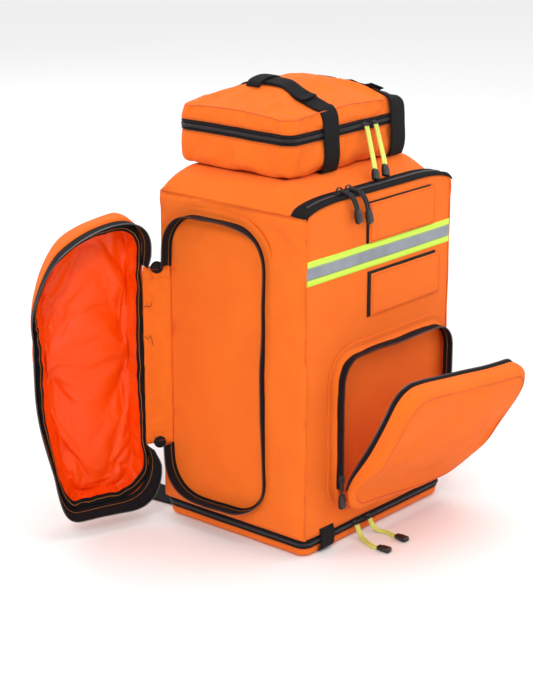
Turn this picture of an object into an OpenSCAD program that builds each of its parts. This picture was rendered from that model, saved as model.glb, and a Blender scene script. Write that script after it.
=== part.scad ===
// Trauma backpack: a tall soft pack that stands on its base. The left side pocket and the front
// pocket stand open, and a strapped pouch sits on the lid. Millimetres, +Z up, the front is -Y.
// The origin is the middle of the base's underside.

/* [Body] */
// Width of the main compartment, left to right
body_w = 334; // [328:1:340]
// Depth of the main compartment, front to back
body_d = 272; // [268:1:276]
// Height of the side seam under the lid, above the ground
seam_z = 496; // [490:1:502]
// Height of the front panel's top edge, at its middle
front_top_z = 512; // [508:1:516]
// Thickness of a sewn wall: outer fabric, coating and lining
wall_t = 2.4; // [2:0.2:3]
// Thickness of the foam boards inside the walls
foam_t = 5; // [3:0.5:6]

/* [Base compartment] */
// Height of the tray under the zip
tray_h = 13; // [11:1:15]
// Top of the zip band around the base
base_zip_top = 28; // [26:1:30]

/* [Lid] */
// Height of the lid's crown above the ground
lid_z = 531; // [528:1:534]
// How far the mouth opens at the lid's hinge, in degrees
lid_gape = 12; // [8:1:14]

/* [Top pouch] */
// Width of the pouch
pouch_w = 256; // [250:1:260]
// Depth of the pouch, front to back
pouch_d = 211; // [205:1:214]
// Height of the middle of the pouch's zip
pouch_zip_z = 588; // [584:1:592]
// Height of the top of the pouch's cover
pouch_top_z = 640; // [636:1:644]
// Radius of the pouch's upright corners
pouch_r = 26; // [20:1:34]

/* [Side pockets] */
// Width of a side pocket's zip outline
side_w = 180; // [174:1:184]
// Height of a side pocket's zip outline
side_h = 429; // [420:1:434]
// Radius of the outline's corners
side_r = 55; // [45:1:62]
// Depth of a side pocket's shell behind its zip tape
side_depth = 42; // [36:1:46]
// Turn of the fabric hinge strip from shut to open
strip_turn = 36; // [30:1:40]
// Turn of the pocket on its strip from shut to open
pouch_turn = 74; // [66:1:78]

/* [Front pocket] */
// Width of the front pocket's zip outline
front_w = 259; // [252:1:260]
// Height of the front pocket's zip outline
front_h = 226; // [220:1:230]
// Radius of the front pocket's corners
front_r = 38; // [30:1:44]
// Depth of the front pocket's shell behind its zip tape
front_depth = 24; // [20:1:30]
// How far the front pocket hangs open
front_turn = 31; // [28:1:33]

/* [Zips and webbing] */
// Width of one half of a pocket's zip tape
tape_w = 20; // [18:1:21]
// Thickness of a zip tape
tape_t = 1.6; // [1.2:0.1:2]
// Width of the lid's straps
strap_w = 36; // [32:1:38]
// Thickness of webbing
web_t = 1.8; // [1.4:0.1:2.2]
// Width of a doubled pull cord
cord_w = 6.4; // [5:0.2:7]
// Width of the moulded end on a pull cord
tip_w = 10; // [8:0.5:11]
// Thickness of the moulded end
tip_t = 6; // [5:0.5:6.5]

/* [Hidden] */
$fn = 48;

orange = "darkorange";
black = "dimgray";
half_w = body_w / 2;
half_d = body_d / 2;
gap = 0.4;
sew = 0.2;
// Side pockets: the outline's middle along Y and Z, the strip that replaces the tape, its hinges.
side_y = 25;
side_z = 257.5;
side_back_y = side_y + side_w / 2;
strip_z0 = 122;
strip_z1 = 386;
flange_t = 1.6;
hinge_x = half_w + flange_t + 0.8;
strip_len = 2 * tape_w + 0.6;
shell_x = hinge_x + strip_len;
// Front pocket: the outline's middle, its zip's lower ends and the hinge line.
front_x = 24.5;
front_z = 173;
front_zip_z0 = 100;
front_hinge_y = -half_d - flange_t - tape_w + 0.6;
front_hinge_z = front_z - front_h / 2;
front_tape = 8;
// Lid and pouch.
zip_split_y = -123;
lid_front_y = -110;
pouch_x = 0;
pouch_front_y = -74;
pouch_y = pouch_front_y + pouch_d / 2;
pouch_z0 = lid_z + 1;
band_h = 7.5;
// Identity flaps: left edge, hinge edge, bottom and top of each.
flap_t = 2.2;
upper_flap = [-31, 124, 438, 495];
lower_flap = [-25, 140, 330, 392];
strip_z = 401;
strip_h = 35;
lime_h = 8.5;
// Straps over the top pouch: their middles along X.
strap_x = [-45, 108];
// Pull cords: hand-laid routes from the slider to the moulded end.
pouch_route_left = [[33, -80.6, 586.6], [31, -86, 574], [27, -94, 557], [20, -104, 541], [14, -111, 532]];
pouch_route_right = [[54, -80.6, 586.6], [53, -86, 574], [49, -94, 559], [43, -104, 544], [37, -111, 535]];
main_route_left = [[-82, -124.4, 520], [-79, -135, 518], [-75, -142, 511], [-71, -144, 502], [-68, -144, 494]];
main_route_right = [[-62, -124.4, 520], [-57, -135, 518], [-52, -142, 510], [-47, -144, 500], [-43, -144, 489]];
base_route_left = [[-54, -141.6, 19], [-55, -148, 8], [-58, -156, 3], [-63, -168, 1.8], [-68, -180, 1.8],
    [-69, -192, 1.8]];
base_route_right = [[-24, -141.6, 19], [-22, -148, 8], [-19, -156, 3], [-16, -166, 1.8], [-17, -177, 1.8],
    [-20, -188, 1.8]];
pouch_tip_left = [9, -117, 518];
pouch_tip_right = [31, -118, 520];
main_tip_left = [-62, -144, 474];
main_tip_right = [-37.5, -144, 469];
base_tip_left = [-68, -213, 4];
base_tip_right = [-22, -209, 4];

// ---- shared shapes ----

// A rounded rectangle about the origin.
module rounded(w, h, r) {
    square([w - 2 * r, h], center = true);
    square([w, h - 2 * r], center = true);
    for (sx = [-1, 1], sy = [-1, 1])
        translate([sx * (w / 2 - r), sy * (h / 2 - r)]) circle(r);
}

// The band between a rounded rectangle and one that is t smaller all round.
module band(w, h, r, t) {
    difference() {
        rounded(w, h, r);
        rounded(w - 2 * t, h - 2 * t, r - t);
    }
}

// A flat shape in the YZ plane, from x0 to x1.
module along_x(x0, x1) {
    translate([x0, 0, 0]) rotate([90, 0, 90]) linear_extrude(x1 - x0) children();
}

// A flat shape in the XZ plane, from y0 to y1.
module along_y(y0, y1) {
    translate([0, y1, 0]) rotate([90, 0, 0]) linear_extrude(y1 - y0) children();
}

// A block between two corners.
module block(low, high) {
    translate(low) cube(high - low);
}

// A smooth stretch of a route between points b and c.
function spline(a, b, c, d, t) =
    0.5 * (2 * b + (c - a) * t + (2 * a - 5 * b + 4 * c - d) * t * t
        + (3 * b - a - 3 * c + d) * t * t * t);

// Every point of a route, with one extra between neighbours.
function smooth(p) = let (n = len(p) - 1) [
    for (i = [0 : n - 1], t = [0, 0.5])
        spline(p[max(i - 1, 0)], p[i], p[i + 1], p[min(i + 2, n)], t),
    p[n]];

function unit(v) = v / norm(v);

// A flat cord swept along a route: an eight-sided oval, wide across the side vector.
module cord(route, side) {
    p = smooth(route);
    n = len(p);
    sides = 8;
    points = [
        for (i = [0 : n - 1])
            let (along = unit(p[min(i + 1, n - 1)] - p[max(i - 1, 0)]),
                up = unit(cross(along, side)),
                wide = cross(up, along))
            for (k = [0 : sides - 1])
                let (a = (k + 0.5) * 360 / sides)
                p[i] + wide * cos(a) * cord_w / 2 + up * sin(a) * cord_w / 4];
    faces = [
        [for (k = [0 : sides - 1]) k],
        for (i = [0 : n - 2], k = [0 : sides - 1])
            let (a = i * sides + k, b = i * sides + (k + 1) % sides)
            each [[a, a + sides, b + sides], [a, b + sides, b]],
        [for (k = [sides - 1 : -1 : 0]) (n - 1) * sides + k]];
    polyhedron(points, faces);
}

// A moulded cord end from one point to another, wide along X.
module tip(from, to) {
    along = unit(to - from);
    up = unit(cross(along, [1, 0, 0]));
    wide = cross(up, along);
    multmatrix([
        [wide.x, up.x, along.x, from.x],
        [wide.y, up.y, along.y, from.y],
        [wide.z, up.z, along.z, from.z]])
        linear_extrude(norm(to - from)) rounded(tip_w, tip_t, 2);
}

// A zip slider that runs along X, with its bridge on the outer side.
module slider(at, tilt) {
    translate(at) rotate([tilt, 0, 0]) {
        translate([-6.5, -5, 0.5]) cube([13, 10, 3]);
        translate([-5, -1.6, 3.5]) cube([10, 3.2, 2.6]);
    }
}

// ---- main compartment ----

// The top edge of the front panel, level in the middle and curved down to the side seams.
function mouth_z(x, lift) =
    let (u = max(0, abs(x) - 90) / (half_w - 90))
    seam_z + lift + (front_top_z - seam_z) * sqrt(max(0, 1 - u * u));

module mouth_strip(y0, y1, low, high) {
    xs = [for (i = [-20 : 20]) half_w * sin(i * 4.5)];
    along_y(y0, y1)
        polygon(concat([for (x = xs) [x, mouth_z(x, high)]],
            [for (i = [len(xs) - 1 : -1 : 0]) [xs[i], mouth_z(xs[i], low)]]));
}

module front_panel() {
    color(orange) difference() {
        mouth_strip(-half_d, -half_d + wall_t, -seam_z, 0);
        block([-half_w - 1, -half_d - 1, -1 - seam_z], [half_w + 1, half_d, base_zip_top + gap]);
    }
}

module back_panel() {
    color(orange)
        block([-half_w, half_d - wall_t, base_zip_top + gap], [half_w, half_d, seam_z - gap]);
}

module side_panel() {
    block([half_w - wall_t, -half_d + wall_t, base_zip_top + gap],
        [half_w, half_d - wall_t, seam_z - gap]);
}

module left_panel() {
    color(orange) mirror([1, 0, 0]) side_panel();
}

module right_panel() {
    color(orange) side_panel();
}

module floor_panel() {
    color(orange)
        block([-half_w + wall_t, -half_d + wall_t, base_zip_top + 4],
            [half_w - wall_t, half_d - wall_t, base_zip_top + 4 + wall_t]);
}

module base_cover() {
    color(orange) {
        difference() {
            linear_extrude(tray_h) rounded(body_w - 4, body_d - 4, 14);
            translate([0, 0, wall_t])
                linear_extrude(tray_h) rounded(body_w - 4 - 2 * wall_t, body_d - 4 - 2 * wall_t, 12);
        }
        block([-half_w + 28, half_d - 2 - wall_t, tray_h - 1], [half_w - 28, half_d - 2, base_zip_top]);
    }
}

module base_zip() {
    color(black) difference() {
        translate([0, 0, tray_h + sew])
            linear_extrude(base_zip_top - tray_h) band(body_w, body_d, 14, 4);
        block([-half_w + 27.6, half_d - 10, 0], [half_w - 27.6, half_d + 1, seam_z]);
    }
}

module base_strap() {
    color(black)
        block([-134, -half_d - web_t, 3], [-104, -half_d - sew, base_zip_top + 6]);
}

module rain_cover() {
    color("yellowgreen")
        translate([0, 0, wall_t + sew]) linear_extrude(22) rounded(250, 190, 30);
}

module base_board() {
    color("gray")
        translate([0, 0, base_zip_top + 4 + wall_t + sew])
            linear_extrude(3) rounded(body_w - 20, body_d - 24, 10);
}

module back_board() {
    color("gray")
        along_y(half_d - wall_t - sew - 3, half_d - wall_t - sew)
            translate([0, side_z]) rounded(body_w - 40, 430, 20);
}

module wall_foam() {
    z0 = base_zip_top + 4 + wall_t + sew;
    color("white") {
        block([-half_w + 14, -half_d + wall_t + sew, z0 + 3.4],
            [half_w - 14, -half_d + wall_t + sew + foam_t, seam_z - 12]);
        for (side = [0, 1])
            mirror([side, 0, 0])
                block([half_w - wall_t - sew - foam_t, -half_d + 16, z0 + 3.4],
                    [half_w - wall_t - sew, half_d - 14, seam_z - 12]);
    }
}

module divider_panel() {
    color("gray")
        along_y(-2, 2) translate([0, 252]) rounded(body_w - 2 * (wall_t + foam_t) - 4, 420, 12);
}

module reflective_strip() {
    x1 = half_w;
    color("yellowgreen") for (z = [strip_z, strip_z + strip_h - lime_h])
        block([-half_w, -half_d - 0.9, z], [x1, -half_d, z + lime_h]);
    color("silver")
        block([-half_w, -half_d - 0.9, strip_z + lime_h], [x1, -half_d, strip_z + strip_h - lime_h]);
}

module id_loop_panels() {
    color(black) for (f = [upper_flap, lower_flap])
        block([f[0] - 4, -half_d - 0.7, f[2]], [f[1] - 8, -half_d, f[3]]);
}

module id_flap(f) {
    color(orange)
        block([f[0], -half_d - 1.1 - flap_t, f[2]], [f[1], -half_d - 1.1, f[3]]);
}

module id_flap_upper() { id_flap(upper_flap); }
module id_flap_lower() { id_flap(lower_flap); }

// ---- front pocket ----

module front_pocket_flange() {
    color(orange) {
        along_y(-half_d - flange_t, -half_d)
            translate([front_x, front_z]) band(front_w + 24, front_h + 24, front_r + 10, 13.5);
        difference() {
            along_y(front_hinge_y + gap, -half_d - flange_t)
                translate([front_x, front_z]) band(front_w, front_h, front_r, tape_t);
            block([-half_w, -half_d - 60, front_zip_z0], [half_w, 0, seam_z]);
        }
    }
}

module front_pocket_zip_body() {
    color(black) difference() {
        along_y(front_hinge_y + gap, -half_d - flange_t)
            translate([front_x, front_z]) band(front_w, front_h, front_r, tape_t);
        block([-half_w, -half_d - 60, 0], [half_w, 0, front_zip_z0 + sew]);
    }
}

module front_pocket_slider() {
    x = front_x - front_w / 2;
    color(black) {
        block([x - 8, front_hinge_y - 1, 104], [x - 0.4, front_hinge_y + 9, 117]);
        block([x - 7, front_hinge_y - 3, 66], [x - 3, front_hinge_y - 1.4, 112]);
    }
}

// Turns the shut front pocket to where it hangs open.
module front_open() {
    translate([0, front_hinge_y, front_hinge_z]) rotate([front_turn, 0, 0])
        translate([0, -front_hinge_y, -front_hinge_z]) children();
}

module front_pocket_zip_shell() {
    color(black) front_open() difference() {
        along_y(front_hinge_y - front_tape, front_hinge_y - gap)
            translate([front_x, front_z]) band(front_w, front_h, front_r, tape_t);
        block([-half_w, -half_d - 80, 0], [half_w, 0, front_hinge_z + 14]);
    }
}

module front_pocket_shell() {
    y = front_hinge_y - front_tape;
    color(orange) front_open() {
        along_y(y - front_depth + wall_t, y)
            translate([front_x, front_z]) band(front_w, front_h, front_r, wall_t);
        along_y(y - front_depth, y - front_depth + wall_t)
            translate([front_x, front_z]) rounded(front_w, front_h, front_r);
    }
}

// ---- side pockets, modelled shut on the right and mirrored to the left ----

module side_outline(grow) {
    translate([side_y, side_z]) rounded(side_w + 2 * grow, side_h + 2 * grow, side_r + grow);
}

module side_band(t) {
    translate([side_y, side_z]) band(side_w, side_h, side_r, t);
}

// Cuts away the stretch where the orange strip takes the place of the zip.
module without_strip() {
    difference() {
        children();
        block([0, side_back_y - 6, strip_z0], [half_w + 100, side_back_y + 6, strip_z1]);
    }
}

module side_flange() {
    along_x(half_w, half_w + flange_t) difference() {
        side_outline(11);
        side_outline(-tape_t);
    }
}

module side_zip_body() {
    without_strip() along_x(half_w + flange_t, half_w + flange_t + tape_w + 0.2) side_band(tape_t);
}

module hinge_strip() {
    block([hinge_x + gap, side_back_y - tape_t, strip_z0 + 0.6],
        [shell_x - gap, side_back_y, strip_z1 - 0.6]);
}

module zip_tabs() {
    x = hinge_x + strip_len / 2;
    for (z = [strip_z0 - 2, strip_z1 + 2])
        translate([x, side_back_y + gap + 1.2, z]) rotate([90, 0, 0]) cylinder(h = 1.2, r = 8);
}

module side_zip_shell() {
    without_strip() along_x(shell_x - tape_w + 0.2, shell_x - gap) side_band(tape_t);
}

module side_shell() {
    along_x(shell_x, shell_x + side_depth - wall_t) side_band(wall_t);
    along_x(shell_x + side_depth - wall_t, shell_x + side_depth) side_outline(0);
}

module side_lining() {
    translate([0, side_y, side_z])
        along_x(shell_x + 4, shell_x + side_depth - wall_t - sew)
            difference() {
                rounded(side_w - 2 * wall_t - 0.4, side_h - 2 * wall_t - 0.4, side_r - wall_t);
                rounded(side_w - 2 * wall_t - 2.4, side_h - 2 * wall_t - 2.4, side_r - wall_t - 1);
            }
}

// Turns the strip from shut to open, about its seam on the body.
module strip_open() {
    translate([-hinge_x, side_back_y, 0]) rotate([0, 0, -strip_turn])
        translate([hinge_x, -side_back_y, 0]) children();
}

// Turns the pocket from shut to open, on the strip's outer edge and with the strip.
module pouch_open() {
    strip_open() translate([-shell_x, side_back_y, 0]) rotate([0, 0, -pouch_turn])
        translate([shell_x, -side_back_y, 0]) children();
}

module left_pocket_flange() { color(orange) mirror([1, 0, 0]) side_flange(); }
module left_pocket_zip_body() { color(black) mirror([1, 0, 0]) side_zip_body(); }
module right_pocket_flange() { color(orange) side_flange(); }
module right_pocket_zip_body() { color(black) side_zip_body(); }
module left_hinge_strip() {
    strip_open() mirror([1, 0, 0]) {
        color(orange) hinge_strip();
        color(black) zip_tabs();
    }
}
module left_pocket_shell() { color(orange) pouch_open() mirror([1, 0, 0]) side_shell(); }
module left_pocket_lining() { color("orangered") pouch_open() mirror([1, 0, 0]) side_lining(); }
module left_pocket_zip_shell() { color(black) pouch_open() mirror([1, 0, 0]) side_zip_shell(); }
module right_hinge_strip() {
    color(orange) hinge_strip();
    color(black) zip_tabs();
}
module right_pocket_shell() { color(orange) side_shell(); }
module right_pocket_zip_shell() { color(black) side_zip_shell(); }

// ---- lid and main zip ----

module main_zip_front() {
    color(black) mouth_strip(-half_d + wall_t + sew, zip_split_y - gap, -2.4, -0.4);
}

module main_zip_rear() {
    color(black) mouth_strip(zip_split_y, lid_front_y, 0, 2);
}

// A crowned block: arched across X and across Y, drawn in by inset on every side.
module crown(inset) {
    w = half_w - inset;
    top = lid_z - inset;
    low = seam_z + gap;
    rear = half_d - inset;
    flat_x = 112;
    flat_y = 100;
    steps = 12;
    function fall(u) = sqrt(1 - u * u);
    across = [for (i = [0 : steps]) let (u = sin(i * 90 / steps))
        [flat_x + (w - flat_x) * u, low + (top - low) * fall(u)]];
    behind = [for (i = [0 : steps]) let (u = sin(i * 90 / steps))
        [flat_y + (rear - flat_y) * u, low + (top - low) * fall(u)]];
    intersection() {
        along_y(lid_front_y - inset, half_d + 1)
            polygon(concat(
                [for (i = [steps : -1 : 0]) [-across[i].x, across[i].y]],
                across, [[w, low - inset], [-w, low - inset]]));
        along_x(-half_w - 1, half_w + 1)
            polygon(concat([[lid_front_y - 2, low - inset], [lid_front_y - 2, front_top_z + 5 - inset],
                [lid_front_y + 14, front_top_z + 11 - inset], [lid_front_y + 30, front_top_z + 16 - inset],
                [lid_front_y + 44, top]], behind, [[rear, low - inset]]));
    }
}

module top_panel() {
    color(orange) difference() {
        crown(0);
        crown(wall_t);
    }
}

module strap_feet() {
    color(black) for (x = strap_x)
        block([x - strap_w / 2, pouch_front_y + 3, lid_z + 0.1],
            [x + strap_w / 2, pouch_front_y + 60, lid_z + 0.9]);
}

// ---- top pouch ----

module pouch_outline(inset) {
    translate([pouch_x, pouch_y]) rounded(pouch_w - 2 * inset, pouch_d - 2 * inset, pouch_r - inset);
}

module pouch_tub() {
    color(orange) {
        translate([0, 0, pouch_z0]) linear_extrude(wall_t) pouch_outline(0);
        translate([0, 0, pouch_z0 + wall_t]) linear_extrude(pouch_zip_z - band_h - pouch_z0 - wall_t)
            difference() {
                pouch_outline(0);
                pouch_outline(wall_t);
            }
    }
    // Webbing loops behind, near both corners.
    color(black) for (x = [pouch_x - 96, pouch_x + 96])
        block([x - 10, pouch_front_y + pouch_d, pouch_z0 + 8], [x + 10, pouch_front_y + pouch_d + 5, pouch_z0 + 30]);
}

module pouch_zip(z) {
    color(black) translate([0, 0, z]) difference() {
        linear_extrude(band_h - gap) difference() {
            pouch_outline(-0.6);
            pouch_outline(wall_t);
        }
        block([-half_w, pouch_front_y + pouch_d - sew, -1], [half_w, half_d + 10, band_h]);
    }
}

module pouch_zip_lower() { pouch_zip(pouch_zip_z - band_h + sew); }
module pouch_zip_upper() { pouch_zip(pouch_zip_z + sew); }

// The cover's solid: upright walls that bow inwards to a crowned top.
module cover_block(inset) {
    z0 = pouch_zip_z + band_h;
    top = pouch_top_z - inset;
    wall_z = z0 + 22;
    steps = 10;
    hx = pouch_w / 2 - inset;
    hy = pouch_d / 2 - inset;
    function rise(u) = wall_z - inset + (top - wall_z + inset) * pow(cos(u * 90), 0.6);
    intersection() {
        translate([0, 0, z0 - inset]) linear_extrude(pouch_top_z) pouch_outline(inset);
        translate([pouch_x, pouch_y, 0]) along_y(-hy - 1, hy + 1)
            polygon(concat([[hx, z0 - inset - 1], [-hx, z0 - inset - 1]],
                [for (i = [-steps : steps]) [hx * i / steps, rise(abs(i) / steps)]]));
        translate([pouch_x, pouch_y, 0]) along_x(-hx - 1, hx + 1)
            polygon(concat([[hy, z0 - inset - 1], [-hy, z0 - inset - 1]],
                [for (i = [-steps : steps]) [hy * i / steps, rise(abs(i) / steps)]]));
    }
}

module pouch_cover() {
    color(orange) difference() {
        cover_block(0);
        cover_block(wall_t);
    }
}

// A strap over the pouch: down the front, over the crown and to the cover's back edge.
module top_strap(x) {
    front = pouch_front_y - 0.9;
    z1 = pouch_top_z + 0.4;
    mid = pouch_top_z - 5;
    edge = pouch_zip_z + 32;
    back = pouch_front_y + pouch_d;
    inner = [[front, pouch_z0 + 1], [front, edge], [front + 14, mid - 3], [front + 40, z1 - 1], [pouch_y, z1],
        [back - 40, z1 - 1], [back - 14, mid - 3], [back + 0.9, edge]];
    outer = [[back + 0.9 + web_t, edge + 1], [back - 13, mid - 3 + web_t], [back - 40, z1 - 1 + web_t],
        [pouch_y, z1 + web_t], [front + 40, z1 - 1 + web_t], [front + 13, mid - 3 + web_t],
        [front - web_t, edge + 1], [front - web_t, pouch_z0 + 1]];
    color(black) {
        along_x(x - strap_w / 2, x + strap_w / 2) polygon(concat(inner, outer));
        block([x - strap_w / 2 - 5, pouch_y - 14, z1 + web_t], [x + strap_w / 2 + 5, pouch_y + 12, z1 + 2 * web_t]);
    }
}

module top_strap_left() { top_strap(strap_x[0]); }
module top_strap_right() { top_strap(strap_x[1]); }

// ---- harness on the back ----

module haul_handle() {
    y = half_d;
    color(black) difference() {
        along_x(-15, 15) polygon([[y + sew, 440], [y + sew, 490], [y + 3, 490], [y + 26, 478], [y + 26, 452],
            [y + 3, 440]]);
        along_x(-16, 16) polygon([[y + sew + 2.6, 445], [y + sew + 2.6, 485], [y + 22.6, 475.5], [y + 22.6, 454.5]]);
    }
}

module back_pad() {
    color(black) {
        for (side = [0, 1])
            mirror([side, 0, 0])
                along_y(half_d + sew, half_d + 16) translate([72, 250]) rounded(88, 330, 24);
        along_y(half_d + sew, half_d + 20) translate([0, 64]) rounded(230, 44, 18);
    }
}

// A shoulder strap's side view: a padded band that bows away from the back pad.
module shoulder_strap(x) {
    y = half_d;
    bow = 28;
    steps = 14;
    function mid(t) = [y + 22.4 + bow * pow(sin(t * 180), 0.8), 472 - 290 * t];
    line = [for (i = [0 : steps]) mid(i / steps)];
    color(black) along_x(x - 32, x + 32)
        polygon(concat([for (p = line) p + [6, 2]], [for (i = [steps : -1 : 0]) line[i] - [6, 2]]));
}

module shoulder_strap_left() { shoulder_strap(-74); }
module shoulder_strap_right() { shoulder_strap(74); }

// Webbing from each shoulder strap's end to the base, the sternum strap, and the two hip straps on
// each side, which come down the back and lie on the ground.
module harness_webbing() {
    y = half_d;
    color(black) {
        for (side = [0, 1]) mirror([side, 0, 0]) {
            along_x(62, 86)
                polygon([[y + 17, 149.8], [y + 20, 149.8], [y + 22.4, 90], [y + 22.4, 40], [y + 2, 26],
                    [y + sew, 29], [y + 20.4, 41], [y + 20.4, 90]]);
        }
        along_y(y + 43, y + 45) translate([0, 370]) square([84, 20], center = true);
        for (side = [0, 1]) mirror([side, 0, 0]) {
            block([-143, y + sew, 0], [-116, y + 2, 40]);
            block([-111, y + sew, 0], [-89, y + 2, 40]);
            linear_extrude(2) {
                polygon([[-144, y + 1], [-115, y + 1], [-121, 172], [-128, 200], [-150, 222], [-166, 216],
                    [-147, 196]]);
                polygon([[-111, y + 1], [-88, y + 1], [-96, 177], [-95, 220], [-119, 220], [-122, 200],
                    [-117, 174]]);
            }
        }
    }
}

module harness_buckles() {
    y = half_d;
    color("black") {
        for (side = [0, 1]) mirror([side, 0, 0])
            block([58, y + 16.4, 150], [90, y + 25, 179]);
        block([-18, y + 41, 356], [18, y + 42.8, 384]);
    }
}

// ---- zip sliders, pull cords and moulded ends ----

module main_pull(route, end) {
    color(black) {
        slider([route[0].x, zip_split_y, front_top_z + 2.2], 0);
        tip(route[len(route) - 1], end);
    }
}

module pouch_pull(route, end) {
    color(black) {
        slider([route[0].x, pouch_front_y - 0.7, pouch_zip_z], 90);
        tip(route[len(route) - 1], end);
    }
}

module main_slider_left() { main_pull(main_route_left, main_tip_left); }
module main_slider_right() { main_pull(main_route_right, main_tip_right); }
module main_cord_left() { color(black) cord(main_route_left, [1, 0, 0]); }
module main_cord_right() { color(black) cord(main_route_right, [1, 0, 0]); }
module pouch_slider_left() { pouch_pull(pouch_route_left, pouch_tip_left); }
module pouch_slider_right() { pouch_pull(pouch_route_right, pouch_tip_right); }
module pouch_cord_left() { color("yellow") cord(pouch_route_left, [1, 0, 0]); }
module pouch_cord_right() { color("yellow") cord(pouch_route_right, [1, 0, 0]); }

module base_pulls() {
    z = (tray_h + base_zip_top) / 2;
    color(black) {
        for (x = [base_route_left[0].x, base_route_right[0].x])
            slider([x, -half_d + 0.3, z], 90);
        tip(base_route_left[len(base_route_left) - 1] + [0, 0, 2.2], base_tip_left);
        tip(base_route_right[len(base_route_right) - 1] + [0, 0, 2.2], base_tip_right);
    }
}

module base_cord_left() { color("yellow") cord(base_route_left, [1, 0, 0]); }
module base_cord_right() { color("yellow") cord(base_route_right, [1, 0, 0]); }

front_panel();
back_panel();
left_panel();
right_panel();
floor_panel();
base_cover();
base_zip();
base_strap();
rain_cover();
base_board();
back_board();
wall_foam();
divider_panel();
reflective_strip();
id_loop_panels();
front_pocket_flange();
front_pocket_zip_body();
front_pocket_slider();
left_pocket_flange();
left_pocket_zip_body();
right_pocket_flange();
right_pocket_zip_body();
main_zip_front();
haul_handle();
back_pad();
shoulder_strap_left();
shoulder_strap_right();
harness_webbing();
harness_buckles();
base_pulls();
base_cord_left();
base_cord_right();
top_panel();
main_zip_rear();
pouch_tub();
pouch_zip_lower();
strap_feet();
pouch_cover();
pouch_zip_upper();
top_strap_left();
top_strap_right();
front_pocket_shell();
front_pocket_zip_shell();
left_hinge_strip();
left_pocket_shell();
left_pocket_lining();
left_pocket_zip_shell();
right_hinge_strip();
right_pocket_shell();
right_pocket_zip_shell();
id_flap_upper();
id_flap_lower();
main_slider_left();
main_slider_right();
main_cord_left();
main_cord_right();
pouch_slider_left();
pouch_slider_right();
pouch_cord_left();
pouch_cord_right();
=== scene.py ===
"""A trauma backpack, standing open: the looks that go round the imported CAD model.

Lengths in this script are millimetres in the row frame; MM turns them into Blender's metres.
"""

import math

import bmesh
import bpy
import numpy as np
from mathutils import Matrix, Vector, noise
from mathutils.bvhtree import BVHTree


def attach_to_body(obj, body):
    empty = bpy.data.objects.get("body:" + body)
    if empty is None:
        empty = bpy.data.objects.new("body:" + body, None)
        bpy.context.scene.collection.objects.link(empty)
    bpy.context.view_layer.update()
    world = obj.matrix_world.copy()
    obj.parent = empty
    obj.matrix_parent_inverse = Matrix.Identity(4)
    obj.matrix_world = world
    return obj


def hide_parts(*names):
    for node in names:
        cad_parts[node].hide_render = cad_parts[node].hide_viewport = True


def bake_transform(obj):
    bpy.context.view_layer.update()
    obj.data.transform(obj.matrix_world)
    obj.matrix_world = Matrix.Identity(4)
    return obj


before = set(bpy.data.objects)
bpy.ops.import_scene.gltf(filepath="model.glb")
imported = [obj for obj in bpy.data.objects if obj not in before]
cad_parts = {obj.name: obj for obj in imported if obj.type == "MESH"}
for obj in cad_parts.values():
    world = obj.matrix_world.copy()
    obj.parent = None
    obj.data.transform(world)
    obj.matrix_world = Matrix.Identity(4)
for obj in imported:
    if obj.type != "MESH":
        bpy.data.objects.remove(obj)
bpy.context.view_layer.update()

noise.seed_set(7)  # Without a seed, noise_vector takes its offsets from the clock.

MM = 0.001
UP = np.array([0.0, 0, 1])
FRONT = np.array([0.0, -1, 0])
ACROSS = np.array([1.0, 0, 0])

# ---- driving sizes, the same as the CAD model's ----

HALF_W, HALF_D = 167.0, 136.0
SEAM_Z, FRONT_TOP, BASE_TOP, TRAY_H = 496.0, 512.0, 28.0, 13.0
SIDE_Y, SIDE_Z, SIDE_W, SIDE_H, SIDE_R = 25.0, 257.5, 180.0, 429.0, 55.0
TAPE_W, STRIP_LEN, SIDE_DEPTH = 20.0, 40.6, 42.0
FLANGE_T = 1.6
HINGE_X = HALF_W + FLANGE_T + 0.8
SHELL_X = HINGE_X + STRIP_LEN
SIDE_BACK = SIDE_Y + SIDE_W / 2
STRIP_Z0, STRIP_Z1 = 122.0, 386.0
STRIP_TURN, POUCH_TURN = 36.0, 74.0
FRONT_X, FRONT_Z, FRONT_W, FRONT_H, FRONT_R = 24.5, 173.0, 259.0, 226.0, 38.0
FRONT_HINGE_Y, FRONT_HINGE_Z = -157.0, 60.0
FRONT_TAPE, FRONT_DEPTH = 8.0, 24.0
LID_Z, LID_FRONT, ZIP_SPLIT = 531.0, -110.0, -123.0
POUCH_X, POUCH_Y, POUCH_W, POUCH_D, POUCH_R = 0.0, 31.5, 256.0, 211.0, 20.0
POUCH_Z0, POUCH_ZIP, POUCH_TOP = 532.0, 588.0, 640.0
STRAP_X, STRAP_W = (-45.0, 108.0), 33.0

# ---- pairs of bodies for pieces between two: such a piece keeps its baked place, and only the second name is read ----

SIDE_TOP = ("pack", "lid", (0, 0, 0.44), (0, 0, 0.495))
FRONT_SWING = ("pack", "front_pocket", (-0.2, 0, -0.12), (0.0, 0, 0.2))


# ---- materials ----

def linear(rgb):
    """An sRGB colour, 0 to 255, as the linear colour that shaders use."""
    c = np.array(rgb, float) / 255
    return (*np.where(c <= 0.04045, c / 12.92, ((c + 0.055) / 1.055) ** 2.4), 1.0)


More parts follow.
